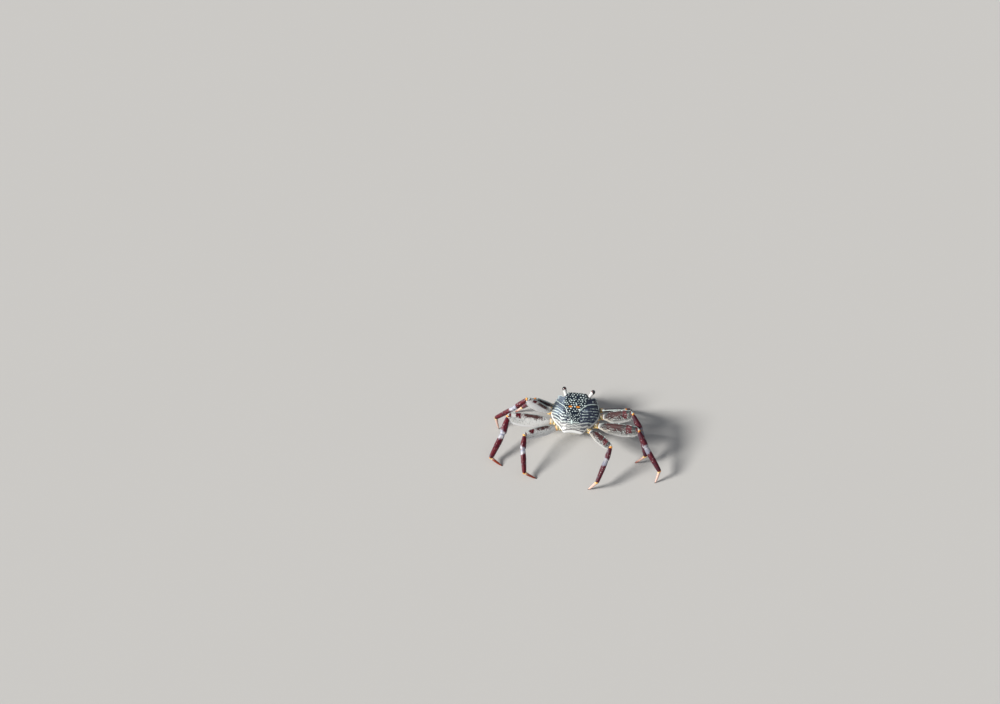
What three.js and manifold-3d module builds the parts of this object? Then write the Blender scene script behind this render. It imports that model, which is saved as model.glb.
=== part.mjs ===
// A lightfoot shore crab, life size, standing on its eight walking legs with its claws folded in
// front of its mouth. Millimetres, +Z up, the floor at z = 0, the crab facing +Y.
//
// The carapace, the thorax under it, the abdomen flap, the mouth plates, both feelers, both eyes and
// every segment of every limb are bodies of their own. Each limb segment starts in a rounded head
// that sits in a socket cut in the segment before it.

import * as THREE from "three";
import { mergeVertices } from "three/addons/utils/BufferGeometryUtils.js";
import Module from "manifold-3d";

const wasm = await Module();
wasm.setup();

// ---------------------------------------------------------------- driving dimensions

const GAP = 0.3; // left between two bodies that touch in life
const FINEST = 0.004; // edges shorter than this, left by joins and cuts, are closed up

const CARAPACE_HALF_WIDTH = 21;
const CARAPACE_REAR = -18; // y of the rear margin
const CARAPACE_FRONT = 19.6; // y of the front, between the eyes
const CARAPACE_DOME = 7; // rise of the back over the side margin
const MARGIN_Z = -4; // height of the side margin
const RIM = 0.7; // half the thickness of the side margin
// Half the width, as a share of the widest, at shares of the length from rear to front.
const CARAPACE_PLAN = [
  [0, 0.35], [0.02, 0.41], [0.055, 0.45], [0.12, 0.535], [0.2, 0.68], [0.29, 0.825], [0.375, 0.925],
  [0.48, 0.99], [0.56, 1], [0.7, 0.975], [0.83, 0.9], [0.868, 0.875], [0.885, 0.835],
  [0.96, 0.795], [1, 0.762],
];

const THORAX_DEPTH = 10.4; // from the side margin down to the breastplate
const THORAX_INSET = 1.3; // how far its walls stand in from the carapace margin
const THORAX_MIDDLE = 1.4; // y of the middle of the breastplate
const THORAX_HALF_LENGTH = 16.1;

const BODY_HEIGHT = 24; // from the floor to the middle of the body
const BODY_TURN = -8; // degrees, from +Y towards +X
const BODY_PITCH = 6.7; // degrees, front up
const BODY_ROLL = -3.4; // degrees, right side up

// Walking legs, front to rear. base is the hip joint in the body's frame on the right side, and the
// lengths run from joint to joint. blade is the width of the merus, slim that of the carpus and the
// propodus, and belly how far the merus bulges to its folding side, as a share of half its width.
const LEG_SIZES = {
  leg1: { base: [18.6, 8.6, -8], ischium: 4, merus: 22.5, carpus: 12, propodus: 17, dactyl: 11.5,
    blade: 9, belly: 0.1, slim: 4.1 },
  leg2: { base: [20.1, 1.6, -7.9], ischium: 4.3, merus: 30, carpus: 15.2, propodus: 22.8, dactyl: 14,
    blade: 11.4, belly: 0.14, slim: 4.8 },
  leg3: { base: [17.6, -6.8, -7], ischium: 3.4, merus: 39, carpus: 14.9, propodus: 23.5, dactyl: 12.5,
    blade: 11.8, belly: 0.16, slim: 5 },
  leg4: { base: [12.6, -12.4, -5.9], ischium: 3, merus: 32.1, carpus: 11.5, propodus: 20.6, dactyl: 12.5,
    blade: 9, belly: -0.05, slim: 4.7 },
};

// Which way each segment points: azimuth from +X towards +Y and elevation, in degrees. The last
// number is the azimuth of the dactyl, whose slope follows from the height of its ankle.
const LEG_POSES = {
  left: {
    leg1: { merus: [195, 45], carpus: [141, -61], propodus: [138, -60], dactyl: 166 },
    leg2: { merus: [186, 47], carpus: [183, -49], propodus: [180, -42], dactyl: 315 },
    leg3: { merus: [183.4, 14.8], carpus: [250, -34], propodus: [239, -29], dactyl: 335 },
    leg4: { merus: [206, 14.2], carpus: [262, -29], propodus: [274, -37], dactyl: 350 },
  },
  right: {
    leg1: { merus: [346, 21], carpus: [60, -52], propodus: [80, -55], dactyl: 165 },
    leg2: { merus: [344, 28], carpus: [301, -28], propodus: [284, -42], dactyl: 178 },
    leg3: { merus: [337.8, 17], carpus: [299, -32], propodus: [304, -28], dactyl: 238 },
    leg4: { merus: [303.8, 20.8], carpus: [247, -39], propodus: [241, -38], dactyl: 188 },
  },
};

// Outlines of the leg segments: [share of the length, share of the width, share of the thickness,
// shift towards the folding side as a share of half the width, or of the belly for the merus].
const MERUS_OUTLINE = [
  [0, 0.32, 0.66, 0], [0.08, 0.5, 0.86, 0.2], [0.22, 0.8, 0.97, 0.7], [0.4, 0.98, 1, 1],
  [0.6, 1, 0.98, 0.95], [0.77, 0.94, 0.94, 0.65], [0.9, 0.8, 0.9, 0.3], [0.975, 0.6, 0.8, 0],
  [1.015, 0.36, 0.6, 0],
];
const CARPUS_OUTLINE = [
  [-0.03, 0.45, 0.6, 0], [0.1, 0.78, 0.86, 0], [0.38, 0.98, 1, -0.04], [0.7, 1.14, 1.06, -0.04],
  [0.92, 1.1, 1, 0], [1.02, 0.8, 0.8, 0],
];
const PROPODUS_OUTLINE = [
  [-0.02, 0.55, 0.66, 0], [0.08, 0.9, 0.94, 0], [0.35, 1.04, 1, 0.02], [0.7, 0.92, 0.92, 0],
  [0.93, 0.8, 0.84, 0], [1.02, 0.56, 0.62, 0],
];
const DACTYL_OUTLINE = [
  [-0.04, 0.62, 0.66, 0], [0.1, 1, 1, 0], [0.4, 0.86, 0.86, -0.12], [0.75, 0.62, 0.62, -0.1],
  [0.94, 0.34, 0.36, 0.04], [1.03, 0.2, 0.2, 0.12],
];
const MERUS_THICKNESS = 0.36; // of its width
const SHAFT_THICKNESS = 0.78; // of its width
const DACTYL_WIDTH = 2.5;

// Teeth and spines: [share of the length, length, side], where side 1 is the folding side.
const MERUS_TEETH = [[0.84, 0.9, 1], [0.9, 1.1, 1], [0.96, 1.2, 1], [0.93, 1, -1]];
const PROPODUS_SPINES = [[0.3, 0.8, 1], [0.55, 0.9, 1], [0.78, 1, 1], [0.9, 1, -1]];
const DACTYL_SPINES = [
  [0.24, 1, 1], [0.42, 1.1, 1], [0.6, 1, 1], [0.76, 0.8, 1],
  [0.3, 0.9, -1], [0.5, 1, -1], [0.68, 0.8, -1],
];
const SPINE_RADIUS = 0.34;
// The two teeth of each side margin, front to rear: [x, y, length], on the right side.
const MARGIN_TEETH = [[15.2, 16.4, 3.2], [17.2, 13, 2.2]];

const EYE_ROOT = [9.9, 16.9, -1.3]; // in the body's frame, right side
const EYESTALK_LENGTH = 6.6;
const EYE_AIMS = { left: [112, 34], right: [48, 31] }; // azimuth and elevation in the body's frame

// ---------------------------------------------------------------- colours of the shell

const finish = (color, roughness) => new THREE.MeshStandardMaterial({ color, roughness, metalness: 0 });
const COLOURS = {
  carapace: finish(0x2f3f4a, 0.42),
  underside: finish(0xd9d6c8, 0.55),
  hip: finish(0xd9cdaa, 0.5),
  merus: finish(0x8d8a7c, 0.48),
  shaft: finish(0x5e1c26, 0.4),
  dactyl: finish(0xdfa48c, 0.42),
  claw: finish(0x6a2030, 0.4),
  stalk: finish(0xd8d4c4, 0.5),
  eye: finish(0x14181c, 0.15),
};

// ---------------------------------------------------------------- vectors and solids

// A repeatable random draw between 0 and 1, so that no two spines are quite alike.
let draws = 11;
function draw() {
  draws = (draws * 16807) % 2147483647;
  return draws / 2147483647;
}

const vec = (x, y, z) => new THREE.Vector3(x, y, z);
const radians = THREE.MathUtils.degToRad;

function aim([azimuth, elevation]) {
  const level = Math.cos(radians(elevation));
  return vec(
    level * Math.cos(radians(azimuth)),
    level * Math.sin(radians(azimuth)),
    Math.sin(radians(elevation)),
  );
}

// The part of v that stands square to axis, at unit length.
function squareTo(v, axis) {
  return v.clone().addScaledVector(axis, -v.dot(axis)).normalize();
}

// A segment's own frame: +Y along it, +X towards its folding side.
function frameOf(origin, along, fold) {
  const x = squareTo(fold, along);
  const z = x.clone().cross(along);
  return new THREE.Matrix4().makeBasis(x, along, z).setPosition(origin);
}

// A closed geometry as a solid that can be joined and cut.
function toSolid(geometry) {
  geometry.deleteAttribute("normal");
  geometry.deleteAttribute("uv");
  const merged = mergeVertices(geometry, 1e-4);
  return new wasm.Manifold(
    new wasm.Mesh({
      numProp: 3,
      vertProperties: merged.attributes.position.array,
      triVerts: new Uint32Array(merged.index.array),
    }),
  );
}

// The largest closed surface of a solid, as a geometry.
function toGeometry(solid) {
  const largest = solid.decompose().reduce((a, b) => (b.volume() > a.volume() ? b : a));
  const mesh = largest.simplify(FINEST).getMesh();
  const geometry = new THREE.BufferGeometry();
  geometry.setAttribute("position", new THREE.BufferAttribute(mesh.vertProperties, 3));
  geometry.setIndex(new THREE.BufferAttribute(mesh.triVerts, 1));
  geometry.computeVertexNormals();
  return geometry;
}

function solidOf(points, triangles) {
  const geometry = new THREE.BufferGeometry();
  geometry.setAttribute("position", new THREE.Float32BufferAttribute(points.flat(), 3));
  geometry.setIndex(triangles);
  return toSolid(geometry);
}

const join = (solids) => solids.reduce((a, b) => a.add(b));
const place = (solid, matrix) => solid.transform(matrix.elements);

// A closed body along +Y through oval sections { y, x, z, wide, thick }, where wide and thick are half
// sizes. grow swells it on every side. A roundness of 2 gives ovals, less gives a sharper edge.
function loft(sections, sides, grow = 0, roundness = 2) {
  const points = [];
  const triangles = [];
  const last = sections.length - 1;
  sections.forEach((s, i) => {
    const y = s.y + (i === 0 ? -grow : i === last ? grow : 0);
    for (let k = 0; k < sides; k++) {
      const a = (2 * Math.PI * k) / sides;
      const bend = (c) => Math.sign(c) * Math.abs(c) ** (2 / roundness);
      points.push([
        (s.x ?? 0) + (s.wide + grow) * bend(Math.cos(a)),
        y,
        (s.z ?? 0) + (s.thick + grow) * bend(Math.sin(a)),
      ]);
    }
    if (i > 0)
      for (let k = 0; k < sides; k++) {
        const a = (i - 1) * sides + k;
        const b = (i - 1) * sides + ((k + 1) % sides);
        triangles.push(a, a + sides, b, b, a + sides, b + sides);
      }
  });
  const start = points.length;
  const first = sections[0];
  const end = sections[last];
  points.push([first.x ?? 0, first.y - grow, first.z ?? 0], [end.x ?? 0, end.y + grow, end.z ?? 0]);
  for (let k = 0; k < sides; k++) {
    const next = (k + 1) % sides;
    triangles.push(start, k, next, start + 1, last * sides + next, last * sides + k);
  }
  return solidOf(points, triangles);
}

// The sections of an outline table at a segment's length and half sizes.
function sectionsOf(outline, length, wide, thick, belly = 1) {
  return outline.map(([along, width, thickness, shift]) => ({
    y: along * length,
    x: shift * belly * wide,
    wide: width * wide,
    thick: thickness * thick,
  }));
}

// A small tooth or spine: a four-sided cone from root to tip.
function spine(root, tip, radius) {
  const along = tip.clone().sub(root);
  const cone = new THREE.ConeGeometry(radius, along.length(), 4);
  cone.translate(0, along.length() / 2, 0);
  const turn = new THREE.Quaternion().setFromUnitVectors(vec(0, 1, 0), along.normalize());
  cone.applyQuaternion(turn);
  return toSolid(cone.translate(root.x, root.y, root.z));
}

// Spines along the two edges of a segment, leaning towards its tip, with their roots sunk in it.
function edgeSpines(spines, sections, length) {
  return spines.map(([along, reach, side]) => {
    const y = along * length;
    const next = sections.findIndex((s) => s.y > y);
    const a = sections[next - 1];
    const b = sections[next];
    const t = (y - a.y) / (b.y - a.y);
    const mix = (key) => a[key] + t * (b[key] - a[key]);
    const edge = mix("x") + side * mix("wide");
    const size = reach * (0.85 + 0.3 * draw());
    const root = vec(edge - side * 0.6, y - 0.35, 0);
    return spine(root, vec(edge + side * size * 0.75, y + size * 0.7, 0), SPINE_RADIUS);
  });
}

// Every body: its mesh, its plain solid and its solid swollen by the gap, both in the crab's frame.
const crab = new THREE.Group();
const bodies = new Map();

// Adds a body made in its own frame. build(grow) gives its solid, swollen by grow.
function addBody(name, material, matrix, build) {
  const solid = place(build(0), matrix);
  const swollen = place(build(GAP), matrix);
  bodies.set(name, { name, material, matrix, solid, swollen });
}

const cut = (name, ...tools) => {
  const body = bodies.get(name);
  for (const tool of tools) body.solid = body.solid.subtract(bodies.get(tool).swollen);
};

// ---------------------------------------------------------------- the carapace

// A smooth curve through [at, value] pairs.
function curveThrough(pairs, at) {
  const last = pairs.length - 1;
  const i = Math.max(0, Math.min(last - 1, pairs.findIndex((p) => p[0] > at) - 1));
  const slope = (j) => {
    const before = pairs[Math.max(0, j - 1)];
    const after = pairs[Math.min(last, j + 1)];
    return (after[1] - before[1]) / (after[0] - before[0]);
  };
  const k = at >= pairs[last][0] ? last - 1 : i;
  const span = pairs[k + 1][0] - pairs[k][0];
  const t = (at - pairs[k][0]) / span;
  const rise = pairs[k + 1][1] - pairs[k][1];
  const hermite = t * t * (3 - 2 * t);
  const bulge = t * (1 - t) * ((1 - t) * slope(k) - t * slope(k + 1)) * span;
  return pairs[k][1] + rise * hermite + bulge;
}

const bump = (distance, reach) => Math.exp(-((distance / reach) ** 2));
const ramp = (t) => Math.min(1, Math.max(0, t)) ** 2 * (3 - 2 * Math.min(1, Math.max(0, t)));

const halfWidthAt = (v) => CARAPACE_HALF_WIDTH * curveThrough(CARAPACE_PLAN, v);
// The front edge: the brow between the eyes stands forward of the eye sockets.
const frontEdge = (x) => CARAPACE_FRONT - 1.9 * ramp((Math.abs(x) - 7.6) / 2.4);
const rearEdge = (x) => CARAPACE_REAR + 0.5 * bump(x, 5);

// Distance from a point to a run of straight lines.
function distanceToLine(x, y, line) {
  let nearest = Infinity;
  for (let i = 0; i + 1 < line.length; i++) {
    const [ax, ay] = line[i];
    const [bx, by] = line[i + 1];
    const along = ((x - ax) * (bx - ax) + (y - ay) * (by - ay)) / ((bx - ax) ** 2 + (by - ay) ** 2);
    const t = Math.min(1, Math.max(0, along));
    nearest = Math.min(nearest, Math.hypot(x - ax - t * (bx - ax), y - ay - t * (by - ay)));
  }
  return nearest;
}

const CERVICAL_RIDGE = [[17.5, 10.2], [11.5, 7], [8, 3.5], [4.6, 0.2]]; // right side, front to middle
const BROW_LOBES = [2.5, 7]; // x of the four lobes behind the front edge, as pairs
const BROW_Y = 17.2;
const BROW_DROP = 0.32; // how far the dome has come down at the front edge, as a share of its rise
const SUMMIT_Y = 2;
const STRIA_SPACING = 3; // of the fine ridges over the gills
const STRIA_SLOPE = 0.42; // the ridges run forward as they run outward

// The height of the back: a flat dome, highest at SUMMIT_Y, that falls to the side and rear margins
// and less to the front, with four brow lobes, the cervical ridge and the first of the gill ridges.
function carapaceTop(x, y, v) {
  const side = Math.abs(x);
  const u = Math.min(1, side / halfWidthAt(v));
  const across = (1 - u ** 2.5) ** 0.75;
  const behind = 1 - Math.min(1, Math.max(0, SUMMIT_Y - y) / (SUMMIT_Y - CARAPACE_REAR + 0.5)) ** 2.6;
  const ahead = 1 - BROW_DROP * (Math.max(0, y - SUMMIT_Y) / (CARAPACE_FRONT - SUMMIT_Y)) ** 2;
  const flank = ramp((0.97 - u) / 0.12);
  let relief = 0;
  for (const lobe of BROW_LOBES) relief += 0.9 * bump(Math.hypot((side - lobe) * 0.9, y - BROW_Y), 1.9);
  relief += 0.5 * bump(distanceToLine(side, y, CERVICAL_RIDGE), 0.9);
  relief -= 0.45 * bump(distanceToLine(side, y + 1.8, CERVICAL_RIDGE), 1.1);
  const overGills = ramp((side - 5) / 4) * ramp((y + 13) / 3) * ramp((6 + 0.3 * side - y) / 2);
  const phase = (y - STRIA_SLOPE * side) / STRIA_SPACING;
  relief += 0.22 * Math.cos(2 * Math.PI * phase) * overGills;
  const rearRim = 0.45 * bump(y - rearEdge(x) - 0.7, 0.8);
  return MARGIN_Z + RIM + CARAPACE_DOME * across * behind * ahead + relief * flank + rearRim;
}

// A closed body over the plan of the carapace: rows from rear to front, top and bottom heights.
function overPlan(columns, rows, inset, top, bottom) {
  const points = [];
  const triangles = [];
  const at = (i, j) => j * (columns + 1) + i;
  const spot = (i, j, shrink) => {
    const u = (2 * i) / columns - 1;
    const v = j / rows;
    const x = u * (halfWidthAt(v) - shrink);
    const rear = rearEdge(x) + shrink;
    return [x, rear + v * (frontEdge(x) - shrink - rear), v];
  };
  for (let j = 0; j <= rows; j++)
    for (let i = 0; i <= columns; i++) {
      const [x, y, v] = spot(i, j, inset);
      points.push([x, y, top(x, y, v)]);
    }
  for (let j = 0; j < rows; j++)
    for (let i = 0; i < columns; i++) {
      const a = at(i, j);
      const b = at(i + 1, j);
      const c = at(i, j + 1);
      const d = at(i + 1, j + 1);
      if (i < columns / 2) triangles.push(a, b, c, b, d, c);
      else triangles.push(a, b, d, a, d, c);
    }
  const edge = [];
  for (let i = 0; i < columns; i++) edge.push([i, 0]);
  for (let j = 0; j < rows; j++) edge.push([columns, j]);
  for (let i = columns; i > 0; i--) edge.push([i, rows]);
  for (let j = rows; j > 0; j--) edge.push([0, j]);
  const foot = points.length;
  for (const [i, j] of edge) {
    const [x, y, v] = spot(i, j, inset + RIM * 0.5);
    points.push([x, y, bottom(x, y, v)]);
  }
  const middle = points.length;
  points.push([0, 1, bottom(0, 1, 0.5)]);
  edge.forEach(([i, j], k) => {
    const n = (k + 1) % edge.length;
    const a = at(i, j);
    const b = at(...edge[n]);
    triangles.push(a, foot + k, b, b, foot + k, foot + n);
    triangles.push(foot + k, middle, foot + n);
  });
  return solidOf(points, triangles);
}

const body = new THREE.Matrix4()
  .makeRotationFromEuler(
    new THREE.Euler(radians(BODY_PITCH), radians(BODY_ROLL), radians(BODY_TURN), "ZXY"),
  )
  .setPosition(0, 0, BODY_HEIGHT);

const carapaceFloor = MARGIN_Z - RIM;
addBody("carapace", COLOURS.carapace, body, () => {
  const teeth = [];
  for (const sign of [-1, 1])
    for (const [x, y, reach] of MARGIN_TEETH)
      teeth.push(
        spine(
          vec(sign * (x - 0.8), y - 1.6, MARGIN_Z + 0.2),
          vec(sign * (x + 0.5), y + reach * 0.8, MARGIN_Z + 0.2),
          1.15,
        ),
      );
  return join([overPlan(28, 34, 0, carapaceTop, () => carapaceFloor), ...teeth]);
});

// ---------------------------------------------------------------- thorax, abdomen and mouth

const thoraxRoof = carapaceFloor - GAP;

// The underside of the thorax, with a top that is level and a bottom like a flat-bottomed boat.
function thoraxBottom(x, y, v) {
  const u = Math.min(1, Math.abs(x) / (halfWidthAt(v) - THORAX_INSET));
  const lengthwise = Math.min(1, Math.abs(y - THORAX_MIDDLE) / THORAX_HALF_LENGTH);
  return thoraxRoof - 0.8 - THORAX_DEPTH * Math.sqrt((1 - u ** 2.6) * (1 - lengthwise ** 3.4));
}

// The boat is built upside down and turned over, so that the grid of faces lies on its bottom.
addBody("thorax", COLOURS.underside, body, () => {
  const depth = (x, y, v) => -thoraxBottom(x, y, v);
  return overPlan(12, 14, THORAX_INSET, depth, () => -thoraxRoof).mirror([0, 0, 1]);
});

// The abdomen: a jointed flap from the rear margin, folded forward under the breastplate.
const ABDOMEN_TURNS = 14;
const ABDOMEN_HALF = 0.75; // half its thickness
addBody("abdomen", COLOURS.underside, body, (grow) => {
  const stations = [];
  for (let k = 0; k <= ABDOMEN_TURNS; k++) {
    const turn = radians(-76 + (88 * k) / ABDOMEN_TURNS);
    const y = THORAX_MIDDLE + THORAX_HALF_LENGTH * Math.sin(turn);
    const vAt = (yy) => (yy - CARAPACE_REAR) / (CARAPACE_FRONT - CARAPACE_REAR);
    const z = thoraxBottom(0, y, vAt(y));
    const step = 0.02;
    const slope = (thoraxBottom(0, y + step, vAt(y + step)) - z) / step;
    const out = vec(0, slope, -1).normalize();
    const share = k / ABDOMEN_TURNS;
    const joint = k % 2 === 0 ? 1 : 0.93;
    stations.push({
      at: vec(0, y, z).addScaledVector(out, GAP + ABDOMEN_HALF),
      out,
      wide: (7.4 - 5 * ramp((share - 0.35) / 0.75)) * joint + grow,
      thick: ABDOMEN_HALF * joint + grow,
    });
  }
  const sides = 10;
  const points = [];
  const triangles = [];
  stations.forEach((s, i) => {
    for (let k = 0; k < sides; k++) {
      const a = (2 * Math.PI * k) / sides;
      const p = s.at.clone().addScaledVector(s.out, s.thick * Math.sin(a));
      points.push([s.wide * Math.cos(a), p.y, p.z]);
    }
    if (i > 0)
      for (let k = 0; k < sides; k++) {
        const a = (i - 1) * sides + k;
        const b = (i - 1) * sides + ((k + 1) % sides);
        triangles.push(a, b, a + sides, b, b + sides, a + sides);
      }
  });
  const start = points.length;
  const last = stations.length - 1;
  points.push(stations[0].at.toArray(), stations[last].at.toArray());
  for (let k = 0; k < sides; k++) {
    const next = (k + 1) % sides;
    triangles.push(start, next, k, start + 1, last * sides + k, last * sides + next);
  }
  return solidOf(points, triangles);
});

const SIDES = { left: -1, right: 1 };

for (const [side, sign] of Object.entries(SIDES)) {
  // The mouth plates stand side by side on the front of the thorax, hinged at their lower edge.
  const plate = frameOf(vec(sign * 2.7, 12.6, -14), aim([90, 55]), vec(sign, 0, 0)).premultiply(body);
  addBody("maxilliped_" + side, COLOURS.underside, plate, (grow) =>
    loft(
      [
        { y: 0, wide: 1.5, thick: 0.7 }, { y: 2, wide: 2.3, thick: 0.9 },
        { y: 5.2, wide: 2.2, thick: 0.95 }, { y: 5.9, wide: 1.7, thick: 0.85, x: 0.4 },
        { y: 8.6, wide: 1.6, thick: 0.8, x: 0.5 }, { y: 9.4, wide: 0.9, thick: 0.55, x: 0.5 },
      ],
      8,
      grow,
    ),
  );
  cut("thorax", "maxilliped_" + side);

  // A short feeler beside each eye socket.
  const feeler = frameOf(vec(sign * 8.2, 15.6, -6.6), aim([90 - sign * 22, 12]), vec(0, 0, 1));
  addBody("antenna_" + side, COLOURS.stalk, feeler.premultiply(body), (grow) =>
    loft(
      [
        { y: 0, wide: 0.9, thick: 0.9 }, { y: 2.6, wide: 1, thick: 1 },
        { y: 3.6, wide: 0.6, thick: 0.6, x: 0.2 }, { y: 6.5, wide: 0.42, thick: 0.42, x: 1 },
        { y: 10, wide: 0.28, thick: 0.28, x: 2.6 },
      ],
      8,
      grow,
    ),
  );
  cut("thorax", "antenna_" + side);

  // Eye and stalk: the stalk stands out of a socket in the front of the carapace.
  const socket = new THREE.SphereGeometry(1, 12, 8);
  socket.scale(3.2, 3, 2.5);
  socket.translate(sign * 11.7, 18.6, -1.6);
  const carapace = bodies.get("carapace");
  carapace.solid = carapace.solid.subtract(place(toSolid(socket), body));
  const [ex, ey, ez] = EYE_ROOT;
  const stalk = frameOf(vec(sign * ex, ey, ez), aim(EYE_AIMS[side]), vec(0, 0, -1)).premultiply(body);
  addBody("eyestalk_" + side, COLOURS.stalk, stalk, (grow) =>
    loft(
      [
        { y: 0, wide: 1.25, thick: 1.35 }, { y: 1.1, wide: 1.65, thick: 1.7 },
        { y: 3.4, wide: 1.45, thick: 1.5 }, { y: 5.1, wide: 1.65, thick: 1.7 },
        { y: EYESTALK_LENGTH, wide: 1.35, thick: 1.35 },
      ],
      12,
      grow,
    ),
  );
  addBody("eye_" + side, COLOURS.eye, stalk, (grow) => {
    const cornea = new THREE.SphereGeometry(1, 12, 8);
    cornea.scale(1.85 + grow, 2.15 + grow, 1.9 + grow);
    return toSolid(cornea.translate(-0.25, EYESTALK_LENGTH - 0.1, 0));
  });
  cut("eyestalk_" + side, "eye_" + side);
  cut("carapace", "eyestalk_" + side);
}

// ---------------------------------------------------------------- limbs

// Adds a run of segments, each cut clear of the one that follows it.
function addLimb(segments) {
  for (const s of segments) addBody(s.name, s.material, s.matrix, s.build);
  for (let i = 0; i + 1 < segments.length; i++) cut(segments[i].name, segments[i + 1].name);
}

// The hip: the coxa from the root out to the base, and the ischium from the base along the thigh.
function hipSegment(name, root, base, out, sizes) {
  const along = base.clone().sub(root).normalize();
  const length = base.distanceTo(root);
  const matrix = frameOf(root, along, vec(0, 0, 1));
  return {
    name,
    material: COLOURS.hip,
    matrix,
    build: (grow) => {
      const coxa = loft(
        [
          { y: 0, wide: 2.4, thick: 2.2 }, { y: 2, wide: 3.1, thick: 2.8 },
          { y: length - 0.8, wide: 3, thick: 2.7 }, { y: length + 1.4, wide: 1.8, thick: 1.7 },
        ],
        8,
        grow,
      );
      const reach = sizes.ischium;
      const wide = 0.24 * sizes.blade;
      const ischium = loft(
        [
          { y: -1.4, wide: wide * 0.6, thick: 1.4 }, { y: 0.2, wide, thick: 2.1 },
          { y: reach - 0.4, wide: wide * 1.12, thick: 2.1 }, { y: reach + 1.1, wide: wide * 0.8, thick: 1.6 },
        ],
        8,
        grow,
      );
      const turn = frameOf(base, out, vec(0, 0, -1)).premultiply(matrix.clone().invert());
      return join([coxa, place(ischium, turn)]);
    },
  };
}

function addLeg(leg, side) {
  const sizes = LEG_SIZES[leg];
  const pose = LEG_POSES[side][leg];
  const sign = SIDES[side];
  const [bx, by, bz] = sizes.base;
  const base = vec(sign * bx, by, bz).applyMatrix4(body);
  const root = vec(sign * (bx - 6), by * 0.93, bz - 1.6).applyMatrix4(body);
  const thigh = aim(pose.merus);
  const wrist = aim(pose.carpus);
  const shin = aim(pose.propodus);
  const start = base.clone().addScaledVector(thigh, sizes.ischium);
  const knee = start.clone().addScaledVector(thigh, sizes.merus);
  const middle = knee.clone().addScaledVector(wrist, sizes.carpus);
  const ankle = middle.clone().addScaledVector(shin, sizes.propodus);
  const slope = -Math.asin(ankle.z / sizes.dactyl) * (180 / Math.PI);
  const toe = aim([pose.dactyl, slope]);

  const merusWide = sizes.blade / 2;
  const slim = sizes.slim / 2;
  const towardsBody = thigh.clone().negate();
  const merusPlan = sectionsOf(
    MERUS_OUTLINE,
    sizes.merus,
    merusWide,
    merusWide * MERUS_THICKNESS,
    sizes.belly,
  );
  const carpusPlan = sectionsOf(CARPUS_OUTLINE, sizes.carpus, slim, slim * SHAFT_THICKNESS);
  const shinPlan = sectionsOf(PROPODUS_OUTLINE, sizes.propodus, slim, slim * SHAFT_THICKNESS);
  const toePlan = sectionsOf(DACTYL_OUTLINE, sizes.dactyl, DACTYL_WIDTH / 2, DACTYL_WIDTH / 2);
  // Spines stand only on the real solid, not on the swollen one that cuts the socket.
  const withSpines = (shell, spines, plan, length, grow) =>
    grow ? shell : join([shell, ...edgeSpines(spines, plan, length)]);
  const name = (part) => leg + "_" + side + "_" + part;
  addLimb([
    hipSegment(name("hip"), root, base, thigh, sizes),
    {
      name: name("merus"),
      material: COLOURS.merus,
      matrix: frameOf(start, thigh, wrist),
      build: (grow) =>
        withSpines(loft(merusPlan, 12, grow, 1.75), MERUS_TEETH, merusPlan, sizes.merus, grow),
    },
    {
      name: name("carpus"),
      material: COLOURS.shaft,
      matrix: frameOf(knee, wrist, towardsBody),
      build: (grow) => loft(carpusPlan, 10, grow),
    },
    {
      name: name("propodus"),
      material: COLOURS.shaft,
      matrix: frameOf(middle, shin, towardsBody),
      build: (grow) =>
        withSpines(loft(shinPlan, 10, grow), PROPODUS_SPINES, shinPlan, sizes.propodus, grow),
    },
    {
      name: name("dactyl"),
      material: COLOURS.dactyl,
      matrix: frameOf(ankle, toe, shin.clone().negate()),
      build: (grow) => withSpines(loft(toePlan, 8, grow), DACTYL_SPINES, toePlan, sizes.dactyl, grow),
    },
  ]);
  const floor = toSolid(new THREE.BoxGeometry(400, 400, 20).translate(0, 0, -10));
  const dactyl = bodies.get(name("dactyl"));
  dactyl.solid = dactyl.solid.subtract(floor);
  cut("thorax", name("hip"));
  cut("carapace", name("hip"));
}

for (const side of Object.keys(SIDES)) for (const leg of Object.keys(LEG_SIZES)) addLeg(leg, side);

// ---------------------------------------------------------------- claws

const CLAW_ROOT = [7.6, 8.6, -11.8]; // in the body's frame, right side
const CLAW = { arm: 10, wrist: 5.8 };
const CLAW_AIMS = { arm: [52, -6], wrist: [104, -34], palm: [147, -30] };

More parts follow.
